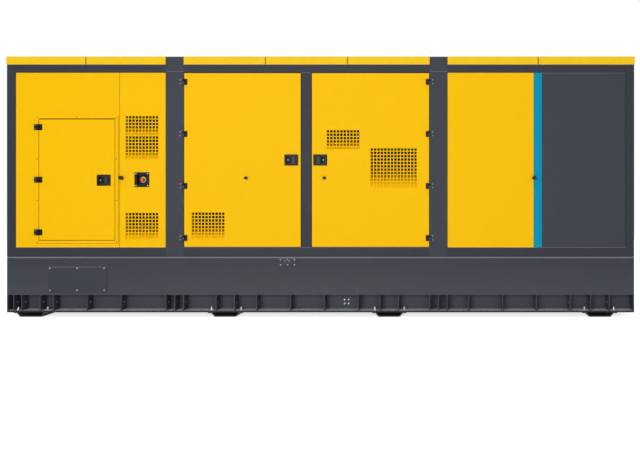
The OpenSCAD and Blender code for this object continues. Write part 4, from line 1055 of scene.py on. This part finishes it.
def cableDucts():
    # slotted cable duct up each side: back, two rows of teeth and a lid
    look, ducts = ductLook, Shape("cable_ducts")
    low, high = inside(board, "z", look["end"])
    for x in inside(board, "x", look["in"]):
        at, span = (x, boardY, low), (0, high - low)
        ducts.blockAt(at, (*look["back"], span), 0.0005)
        for wall, i in product(look["walls"], range(look["teeth"])):
            tooth = off(look["first"] + i * look["pitch"], (0, look["tooth"]))
            ducts.blockAt(at, (wall, look["wall"], tooth), 0)
        ducts.blockAt(at, (*look["lid"], span))
    ducts.done("grey")


controller()
buttons()
mainBreaker()
smallBreakers()
cableDucts()
print("control panel")
engineLook = {"axis": 1.290, "start": -1.050, "pitch": 0.350, "count": 6, "tilt": 35.0}


def bankFrame(side):
    # a bank's own frame: along the crank, across towards the middle, up the cylinders
    c, s = math.cos(math.radians(engineLook["tilt"])), math.sin(math.radians(engineLook["tilt"]))
    return Matrix((
        (1, 0, 0, engineLook["start"]),
        (0, side * c, -side * s, 0),
        (0, s, c, engineLook["axis"]),
        (0, 0, 0, 1),
    ))


headLook = {
    "flange": ((0.030, 0.320), (-0.130, 0.130), (0.7002, 0.712)),
    "lug": ((0.13, 0.22), (-0.190, -0.166), (0.69, 0.735)),
    "coverBolts": ((-0.122, 0.122), (0.045, 0.175, 0.305), 0.712, (0.014, 0.009, 0.010)),
    "headBolts": ((-0.150, 0.150), (0.03, 0.32), 0.700, (0.022, 0.014, 0.015)),
    "port": ((-0.062, 0.062), (-0.180, -0.1652), (0.612, 0.690)),
    "portBolts": (0.048, -0.180, 0.651, (0.018, 0.012, 0.012)),
}
fuelLook = {
    "ends": (0.02, 2.05), "across": -0.182, "up": 0.742, "rail": 0.013, "line": 0.0042,
    "bends": ((0.175, -0.182, 0), (0.165, -0.180, 0.035), (0.150, -0.150, 0.050), (0.140, -0.110, 0.030),
              (0.140, -0.095, -0.005)),
    "nut": [(0.009, 0), (0.009, 0.012), (0.006, 0.014), (0, 0.014)], "nutAt": (0.175, -0.182, 0.752),
}


def cylinderHeads(clamps):
    # flanges and bolts of the covers and heads, fuel rail with its lines, exhaust port flanges
    caps, flanges, fuel = Shape("head_bolts"), Shape("cover_flanges"), Shape("fuel_pipes")
    starts = [i * engineLook["pitch"] for i in range(engineLook["count"])]
    rise, (nutX, nutY, nutZ) = fuelLook["up"], fuelLook["nutAt"]
    for bank in (bankFrame(1), bankFrame(-1)):
        away, outward = [bank.to_3x3() @ Vector(axis) for axis in ((0, 0, 1), (0, -1, 0))]
        rail = [bank @ Vector((u, fuelLook["across"], rise)) for u in fuelLook["ends"]]
        fuel.tube(rail, fuelLook["rail"], 14)
        for u in starts:
            for key in ("flange", "lug"):
                flanges.blockAt((u, 0, 0), headLook[key], 0.003, bank)
            for acrosses, steps, up, size in (headLook["coverBolts"], headLook["headBolts"]):
                for v, step in product(acrosses, steps):
                    hexBolt(caps, bank @ Vector((u + step, v, up)), away, *size)
            path = [bank @ Vector((u + step, v, rise + up)) for step, v, up in fuelLook["bends"]]
            fuel.tube(path, fuelLook["line"], 8, 2)
            clamps.lathe(fuelLook["nut"], turnTo(bank @ Vector((u + nutX, nutY, nutZ)), away), 6)
        for u in off(engineLook["pitch"] / 2, starts):
            flanges.blockAt((u, 0, 0), headLook["port"], 0.003, bank)
            reach, across, up, size = headLook["portBolts"]
            for x in about(u, reach):
                hexBolt(clamps, bank @ Vector((x, across, up)), outward, *size)
    caps.done("zinc")
    flanges.done("engine")
    fuel.done("fan")


turboLook = {
    "x": -1.232, "y": 0.590, "z": 1.6705, "ring": 0.080, "tube": 0.034, "mouth": -1.301,
    "housing": [(0.100, -0.046), (0.100, -0.012), (0.070, -0.004), (0.058, 0.03), (0.056, 0.062),
                (0.062, 0.063), (0.062, 0.069), (0, 0.069)],
    "bolts": (8, 0.106), "bolt": (0.012, 0.008, 0.008), "behind": 0.045,
    "clamp": ((0.1105, 0.116), [-0.07], 0.016),
}
filterLook = {
    "x": -1.050, "y": 0.230, "z": 2.250, "shell": (0.1702, 0.176), "bands": (0.012, 0.14, 0.47, 0.60),
    "lid": [(0.150, 0.6195), (0.150, 0.626), (0.110, 0.634), (0.040, 0.636), (0.018, 0.652), (0, 0.652)],
    "wide": 0.018, "catchX": (-0.470, -0.425), "catch": (0.166, 0.182, 0.010),
}
airPipe = {
    "radius": 0.052, "leaving": ((0, 0, 0), (-0.075, 0, 0.01), (-0.135, 0.05, 0.12), (-0.11, 0.19, 0.36)),
    "arriving": ((-1.300, 0.04, -0.09), (-1.235, 0, 0), (-1.150, 0, 0), (-1.048, 0, 0)),
    "sleeve": [(0.0525, -0.012), (0.058, -0.012), (0.0585, 0.05), (0.0525, 0.05)],
    "sleeveX": (-1.302, -1.062), "clamps": ((0.058, 0.0605), (0.002, 0.034), 0.009),
}
bellowsLook = {
    "x": -1.130, "foot": 1.856, "first": 0.040, "pitch": 0.022, "count": 11, "inner": 0.0765,
    "fold": ((0.079, 0), (0.079, 0.003), (0.093, 0.007), (0.093, 0.014), (0.079, 0.018)),
    "bands": ((0.0765, 0.084), (0.020, 0.286), 0.018),
    "bolts": (6, 0.096, 0.5), "bolt": (0.015, 0.010, 0.009), "above": 0.0005,
}


def turboSide(side, turbos, airPipes, sleeves, bellows, clamps):
    # one turbocharger with the pipe from its air filter and the bellows on its outlet
    look, y, z = turboLook, -side * turboLook["y"], turboLook["z"]
    place = turnTo((look["x"], y, z), toLeft)
    turbos.bead(look["ring"], look["tube"], place, 40, 14)
    turbos.lathe(look["housing"], place, 32)
    for dy, dz in around(*look["bolts"]):
        hexBolt(clamps, (look["x"] + look["behind"], y + dy, z + dz), toLeft, *look["bolt"])
    clamps.bands(*look["clamp"], place, 40, 0.004)

    filterY, filterZ = -side * filterLook["y"], filterLook["z"]
    path = [(look["mouth"] + dx, y + side * dy, z + dz) for dx, dy, dz in airPipe["leaving"]]
    path += [(x, filterY - side * dy, filterZ + dz) for x, dy, dz in airPipe["arriving"]]
    airPipes.tube(path, airPipe["radius"], 24, 3)
    for x, end in zip(airPipe["sleeveX"], ((y, z), (filterY, filterZ))):
        place = turnTo((x, *end), toLeft)
        sleeves.hoop(airPipe["sleeve"], place)
        clamps.bands(*airPipe["clamps"], place)

    look, place = bellowsLook, turnTo((bellowsLook["x"], y, bellowsLook["foot"]), toTop)
    starts = [look["first"] + k * look["pitch"] for k in range(look["count"] + 1)]
    folds = [(radius, start + height) for start in starts[:-1] for radius, height in look["fold"]]
    bellows.hoop(folds + [(look["inner"], starts[-1]), (look["inner"], starts[0])], place, 36)
    clamps.bands(*look["bands"], place, 36)
    for dx, dy in around(*look["bolts"]):
        hexBolt(clamps, (look["x"] + dx, y + dy, look["foot"] + look["above"]), toTop, *look["bolt"])


def airFilters():
    # bands round each filter, its lid and the four catches that hold it
    look, filters, z = filterLook, Shape("air_filter_details"), filterLook["z"]
    near, far, wide = look["catch"]
    for y in about(0, look["y"]):
        place = turnTo((look["x"], y, z), toRight)
        filters.bands(look["shell"], look["bands"], look["wide"], place, 48)
        filters.lathe(look["lid"], place, 40)
        for c, s in around(4, 1, 0.5):
            spans = [(at + near * part - wide, at + far * part + wide) for at, part in ((y, c), (z, s))]
            filters.block(look["catchX"], *spans, 0.003)
    filters.done("black")


def airAndExhaust(clamps):
    turbos, airPipes = Shape("turbochargers"), Shape("air_pipes")
    sleeves, bellows = Shape("pipe_sleeves"), Shape("exhaust_bellows")
    for side in (1, -1):
        turboSide(side, turbos, airPipes, sleeves, bellows, clamps)
    turbos.done("cast")
    airPipes.done("fan")
    sleeves.done("rubber")
    bellows.done("steel")
    airFilters()


starterLook = {
    "x": -1.046, "y": 0.452, "z": 1.030, "relayUp": 0.103,
    "motor": [(0.080, 0), (0.080, 0.018), (0.060, 0.024), (0.060, 0.050), (0.070, 0.056), (0.070, 0.190),
              (0.062, 0.200), (0.030, 0.206), (0, 0.206)],
    "relay": [(0.034, 0.045), (0.034, 0.150), (0.028, 0.156), (0.010, 0.160), (0, 0.160)],
    "flange": ((0.002, 0.018), (-0.09, 0.05), (-0.06, 0.06)),
}
canLook = {
    "x": (0.100, 0.250, 0.400, 0.550), "y": -0.460, "z": 0.960,
    "lid": [(0.058, 0), (0.05452, 0.012), (0.0348, 0.017), (0.012, 0.017), (0.012, 0.026), (0, 0.026)],
    "bands": ((0.0583, 0.0605), (0.018, 0.225), 0.012),
}
oilLook = {  # points, radius, sides and rounds of easing
    "cooler": (((0.06, -0.475, 1.245), (0.0, -0.475, 1.245), (-0.08, -0.455, 1.22), (-0.10, -0.43, 1.15),
                (-0.10, -0.385, 1.13)), 0.016, 14, 2),
    "gallery": (((0.02, -0.475, 1.245), (0.62, -0.475, 1.245)), 0.020, 16),
    "dipstick": (((-0.42, -0.40, 1.16), (-0.42, -0.47, 1.22), (-0.44, -0.475, 1.36), (-0.45, -0.47, 1.45)),
                 0.008, 10, 2),
    "collar": (((-0.45, -0.47, 1.45), (-0.45, -0.47, 1.475)), 0.011, 12),
}
handleLook = {
    "at": (-0.45, -0.47, 1.492), "ring": 0.014, "wire": 0.004,
    "stemAt": (-0.45, -0.47, 1.472), "stem": [(0.006, -0.004), (0.006, 0.010), (0, 0.010)],
}


def engineSides():
    # starters, oil filters, oil pipes and the dipstick's handle
    look, starter = starterLook, Shape("starter_motor")
    for side in (1, -1):
        x, y, z = look["x"], -side * look["y"], look["z"]
        starter.lathe(look["motor"], turnTo((x, y, z), toRight), 36)
        starter.lathe(look["relay"], turnTo((x, y, z + look["relayUp"]), toRight), 28)
        along, across, up = look["flange"]
        starter.blockAt((x, y, z), (along, [-side * step for step in across], up), 0.006)
    starter.done("cast")
    look, cans = canLook, Shape("oil_filter_details")
    for x in look["x"]:
        at = (x, look["y"], look["z"])
        cans.lathe(look["lid"], turnTo(at, toFloor), 36)
        cans.bands(*look["bands"], turnTo(at, toTop), 36)
    cans.done("yellow")
    oil, look, handle = Shape("oil_pipes"), handleLook, Shape("dipstick_handle")
    for pipe in oilLook.values():
        oil.tube(*pipe)
    oil.done("fan")
    handle.bead(look["ring"], look["wire"], turnTo(look["at"], toFront), 24, 10)
    handle.lathe(look["stem"], turnTo(look["stemAt"], toTop), 12)
    handle.done("red")


coolantLook = {
    "radius": 0.032,
    "path": ((0.98, 0.20, 1.80), (0.985, 0.21, 1.96), (1.02, 0.27, 2.20), (1.06, 0.33, 2.40),
             (1.13, 0.33, 2.505), (1.30, 0.33, 2.515), (1.50, 0.33, 2.515), (1.60, 0.33, 2.505),
             (1.622, 0.33, 2.47), (1.622, 0.33, 2.438)),
    "sleeves": ((1.18, 0.33, 2.512), (1.40, 0.33, 2.515)), "sleeve": ((0.0322, 0.038), [0], 0.09),
    "clamps": ((0.0378, 0.0402), (0.010, 0.070), 0.009),
}


def coolantPipes(clamps):
    # pipes over the fan, each with two clamped rubber sleeves
    look, pipes, sleeves = coolantLook, Shape("coolant_pipes"), Shape("coolant_sleeves")
    for side in (1, -1):
        pipes.tube([(x, -side * y, z) for x, y, z in look["path"]], look["radius"], 20, 2)
        for x, y, z in look["sleeves"]:
            place = turnTo((x, -side * y, z), toRight)
            sleeves.bands(*look["sleeve"], place, 28, 0.001)
            clamps.bands(*look["clamps"], place, 28)
    pipes.done("engine")
    sleeves.done("rubber")


beltLook = {
    "x": 1.1615, "steps": (0, 0.016, 0.032), "thick": 0.001,
    "pulleys": ((0.0, 1.290, 0.125, 0.012), (0.0, 1.570, 0.095, 0.061), (-0.235, 1.480, 0.045, 0.012)),
    "rim": 0.006, "groove": ((0.006, 0.006), (-0.006, 0.010), (-0.006, 0.016), (0.006, 0.020)),
    "wide": 0.052, "dish": (0.7, 0.6, 0.034),  # shares of the radius and the depth at the hub
    "section": ((0.011, 0.006), (0.019, 0.006), (0.018, -0.003), (0.012, -0.003)),
}
chargerLook = {
    "at": (1.010, -0.235, 1.480), "bracket": ((0.02, 0.11), (0.05, 0.135), (-0.03, 0.03)),
    "body": [(0.030, 0), (0.066, 0.006), (0.075, 0.02), (0.075, 0.110), (0.068, 0.128), (0.045, 0.135),
             (0.014, 0.137), (0.014, 0.152), (0, 0.152)],
}


def hull(points):
    # outline of a cloud of places, walked round
    points, outline = sorted(points), []
    for sweep in (points, points[::-1]):
        side = []
        for y, z in sweep:
            while len(side) > 1:
                (y0, z0), (y1, z1) = side[-2:]
                if (y1 - y0) * (z - z0) - (z1 - z0) * (y - y0) > 0:
                    break
                side.pop()
            side.append((y, z))
        outline += side[:-1]
    return outline


def beltDrive():
    # grooved pulleys of crank, fan and charging alternator with three belts round them
    look, wide, rim, x = beltLook, beltLook["wide"], beltLook["rim"], beltLook["x"]
    pulleys, belts, charger = Shape("drive_pulleys"), Shape("drive_belts"), Shape("charging_alternator")
    web, hub, depth = look["dish"]
    for y, z, r, bore in look["pulleys"]:
        grooves = [(r + out, step + at) for step in look["steps"] for out, at in look["groove"]]
        back = [(r + rim, wide), (r * web, wide), (r * hub, depth), (bore, depth)]
        pulleys.hoop([(bore, 0), (r + rim, 0), *grooves, *back], turnTo((x, y, z), toRight), 40)
    path = hull([
        (y + dy, z + dz) for y, z, r, _ in look["pulleys"] for dy, dz in around(72, r + look["thick"])
    ])
    path = [Vector(point) for point in path]
    middle = sum(path, Vector((0, 0))) / len(path)
    outward = [(point - middle).normalized() for point in path]
    for step in look["steps"]:
        belts.skin([
            belts.ring((x + step + dx, *(point + grow * out)) for point, out in zip(path, outward))
            for dx, grow in look["section"]
        ], closed=True)
    pulleys.done("zinc")
    belts.done("rubber")
    charger.lathe(chargerLook["body"], turnTo(chargerLook["at"], toRight), 36)
    charger.blockAt(chargerLook["at"], chargerLook["bracket"], 0.006)
    charger.done("fan")


engineClamps = Shape("engine_clamps")
cylinderHeads(engineClamps)
airAndExhaust(engineClamps)
engineSides()
coolantPipes(engineClamps)
beltDrive()
engineClamps.done("zinc")
print("engine")

guardLook = {
    "z": 1.570, "front": 1.288, "inner": 0.165, "outer": 0.735, "rings": 13, "wire": 0.0026,
    "rim": (0.772, 0.00416, 1.3655), "ends": ((0.768, 1.308), (0.772, 1.3655)), "spokes": 28,
}


def fanGuard():
    # wire rings and spokes in front of the fan, the spokes bent back to a rim on the cowl
    look, wire, guard = guardLook, guardLook["wire"], Shape("fan_guard")
    radii = spread(look["inner"], look["outer"], 0, look["rings"])
    for radius, thick, x in [*((radius, wire, look["front"]) for radius in radii), look["rim"]]:
        guard.bead(radius, thick, turnTo((x, 0, look["z"]), toRight), 56, 6)
    behind = look["front"] + 2 * wire
    spoke = ((look["inner"], behind), (look["outer"], behind), *look["ends"])
    for c, s in around(look["spokes"]):
        guard.tube([(x, radius * c, look["z"] + radius * s) for radius, x in spoke], wire, 6)
    guard.done("black")


coreLook = {
    "faces": ((1.5265, 1.5300), (1.6700, 1.6735)), "z": (0.785, 2.285),
    "first": -0.92175, "pitch": 0.0165, "fins": 112, "fin": 0.0035,
}
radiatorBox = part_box("radiator")
capPlug = {
    "x": 1.600, "y": -0.62,
    "turned": [(0.040, 0), (0.040, 0.018), (0.034, 0.020), (0.034, 0.024), (0.046, 0.026), (0.046, 0.038),
               (0.040, 0.042), (0, 0.042)],
}
cowlBolts = {"x": 1.3695, "end": 0.05, "count": 11, "low": 0.08, "high": 0.03, "bolt": (0.014, 0.008, 0.010)}


def radiatorParts():
    # fins on both faces of the core, filler cap and the bolts of the cowl
    look, core, trim, (low, high) = coreLook, Shape("radiator_core"), Shape("radiator_details"), radiatorBox
    for k, x in product(range(look["fins"]), look["faces"]):
        core.block(x, about(look["first"] + k * look["pitch"], look["fin"]), look["z"], 0)
    core.done("fan")
    trim.lathe(capPlug["turned"], turnTo((capPlug["x"], capPlug["y"], high.z), toTop), 28)
    ys = spread(low.y, high.y, cowlBolts["end"], cowlBolts["count"])
    zs = (low.z + cowlBolts["low"], high.z - cowlBolts["high"])
    bolts(trim, [cowlBolts["x"]], ys, zs, toLeft, cowlBolts["bolt"])
    trim.done("zinc")


fanGuard()
radiatorParts()
print("fan guard and radiator")

generatorLook = {
    "axis": 1.290, "slots": 20, "highest": 0.75, "slotX": ((-2.545, -2.375), (-1.585, -1.300)),
    "slotY": (0.455, 0.464), "slotZ": (-0.030, 0.030), "box": (-2.303, -1.603),
    "lid": ((-2.315, -1.591), (-0.312, 0.312), (2.118, 2.144)),
    "lidBolts": (0.03, 5), "lidY": (-0.28, 0.28), "lidZ": 2.144, "lidBolt": (0.016, 0.009, 0.012),
    "faceBolts": (0.05, 4), "faceY": -0.300, "faceZ": (1.86, 2.08), "faceBolt": (0.014, 0.008, 0.010),
    "endBolts": (16, 0.40, 0.5), "endX": -2.600, "endBolt": (0.022, 0.013, 0.015),
    "trunk": ((-2.26, -2.14), (-0.86, -0.300), (1.90, 2.02)),
    "trunkFlange": ((-2.272, -2.128), (-0.316, -0.300), (1.888, 2.032)),
}


def generator():
    # raised vent covers round the frame, lid of the terminal box, bolts and the cable trunk
    look, trim, caps = generatorLook, Shape("alternator_details"), Shape("alternator_bolts")
    for turn in range(look["slots"]):
        angle = 2 * math.pi * (turn + 0.5) / look["slots"]
        if math.sin(angle) < look["highest"]:
            place = Matrix.Translation((0, 0, look["axis"])) @ Matrix.Rotation(angle, 4, "X")
            for x in look["slotX"]:
                trim.block(x, look["slotY"], look["slotZ"], 0.004, place=place)
    trim.block(*look["lid"], 0.006)
    trim.done("engine")
    xs = spread(*look["box"], *look["lidBolts"])
    bolts(caps, xs, look["lidY"], [look["lidZ"]], toTop, look["lidBolt"])
    xs = spread(*look["box"], *look["faceBolts"])
    bolts(caps, xs, [look["faceY"]], look["faceZ"], toFront, look["faceBolt"])
    for y, z in around(*look["endBolts"]):
        hexBolt(caps, (look["endX"], y, look["axis"] + z), toLeft, *look["endBolt"])
    caps.done("zinc")
    trunk = Shape("cable_trunk")
    trunk.block(*look["trunk"], 0.006)
    trunk.block(*look["trunkFlange"], 0.003)
    trunk.done("pale")


pipeLook = {
    "z": 2.566, "lagging": ((0.0955, 0.108), [-1.00], 2.88), "bands": (0.1075, 0.1098), "wide": 0.020,
    "starts": (-0.95, 1.81), "count": 9,
}
silencerLook = {
    "z": 2.421, "bands": (0.2702, 0.277), "starts": (1.926, 2.355, 2.745, 3.174), "wide": 0.028,
}
riserBands = {"radii": (0.0762, 0.0785), "z": (2.20, 2.36), "starts": [-0.008], "wide": 0.016}


def exhaust():
    # lagging on the pipe, with bands on it, on the silencer and on the risers
    look, lagging, trim = pipeLook, Shape("exhaust_lagging"), Shape("pipe_bands")
    place = turnTo((0, 0, look["z"]), toRight)
    lagging.bands(*look["lagging"], place, 40, 0.006)
    lagging.done("cloth")
    trim.bands(look["bands"], spread(*look["starts"], 0, look["count"]), look["wide"], place, 40)
    look = silencerLook
    trim.bands(look["bands"], look["starts"], look["wide"], turnTo((0, 0, look["z"]), toRight), 56, 0.002)
    look = riserBands
    for y, z in product(about(0, turboLook["y"]), look["z"]):
        trim.bands(look["radii"], look["starts"], look["wide"], turnTo((bellowsLook["x"], y, z), toTop))
    trim.done("zinc")


generator()
exhaust()
print("alternator and exhaust")

studio = {"half": 400.0, "paper": 0.86, "lift": 0.75, "sky": 0.3, "aim": (0, 0, 1.3)}
lamps = {  # place, power and size
    "key": ((-3.0, -16.0, 2.6), 920.0, 5.0),
    "fill": ((5.0, -16.0, 0.9), 400.0, 4.0),
    "rear": ((4.0, 14.0, 5.0), 900.0, 6.0),
    "leftEnd": ((-15.0, 3.0, 4.0), 600.0, 6.0),
    "rightEnd": ((15.0, 3.0, 4.0), 600.0, 6.0),
    "top": ((0.0, 0.0, 11.0), 420.0, 8.0),
}
view = {"from": (1.22, -11.35, 1.44), "lens": 51.5, "shift": (-0.172, -0.0584)}


def inScene(name, data):
    made = bpy.data.objects.new(name, data)
    bpy.context.scene.collection.objects.link(made)
    return made


def paperFloor():
    # pale floor, lifted towards white where the camera sees it so that only the shadow shows
    half, sheet = studio["half"], bmesh.new()
    corners = ((-half, -half, 0), (half, -half, 0), (half, half, 0), (-half, half, 0))
    sheet.faces.new([sheet.verts.new(corner) for corner in corners])
    mesh = bpy.data.meshes.new("floor")
    sheet.to_mesh(mesh)
    sheet.free()
    floor = inScene("floor", mesh)
    paper = Finish("floorPaper", (studio["paper"],) * 3, 0.9, shine=0.0)
    plain = Wire(paper, paper.shader.outputs[0])
    lift = paper.node("ShaderNodeEmission", {}, {"Color": (1, 1, 1, 1), "Strength": studio["lift"]})
    both = paper.node("ShaderNodeAddShader", {}, {0: plain, 1: lift})
    mixed = paper.node("ShaderNodeMixShader", {}, {0: paper.ray("Is Camera Ray"), 1: plain, 2: both})
    paper.join(paper.tree.nodes["Material Output"].inputs["Surface"], mixed)
    mesh.materials.append(paper.material)


def studioAir():
    # dim sky that the camera, gloss and glass see as white
    world = bpy.data.worlds.new("studioAir")
    bpy.context.scene.world = world
    world.use_nodes = True
    air = NodeSet(world.node_tree)
    seen = air.ray("Is Camera Ray").most(air.ray("Is Glossy Ray")).most(air.ray("Is Transmission Ray"))
    soft, white = [
        air.node("ShaderNodeBackground", {}, {"Color": (1, 1, 1, 1), "Strength": strength})
        for strength in (studio["sky"], 1.0)
    ]
    mixed = air.node("ShaderNodeMixShader", {}, {0: seen, 1: soft, 2: white})
    air.join(air.tree.nodes["World Output"].inputs["Surface"], mixed)


def lampsAndCamera():
    for name, (where, power, size) in lamps.items():
        light = bpy.data.lights.new(name + "Light", "AREA")
        light.energy = power
        light.size = size
        holder = inScene(name + "Light", light)
        holder.location = where
        holder.rotation_euler = (Vector(studio["aim"]) - Vector(where)).to_track_quat("-Z", "Y").to_euler()
    lens = bpy.data.cameras.new("camera")
    lens.lens = view["lens"]
    lens.shift_x, lens.shift_y = view["shift"]
    camera = inScene("camera", lens)
    camera.location = view["from"]
    camera.rotation_euler = (math.radians(90), 0, 0)
    bpy.context.scene.camera = camera


paperFloor()
studioAir()
lampsAndCamera()
bpy.context.scene.view_settings.view_transform = "Standard"
print("light and camera")
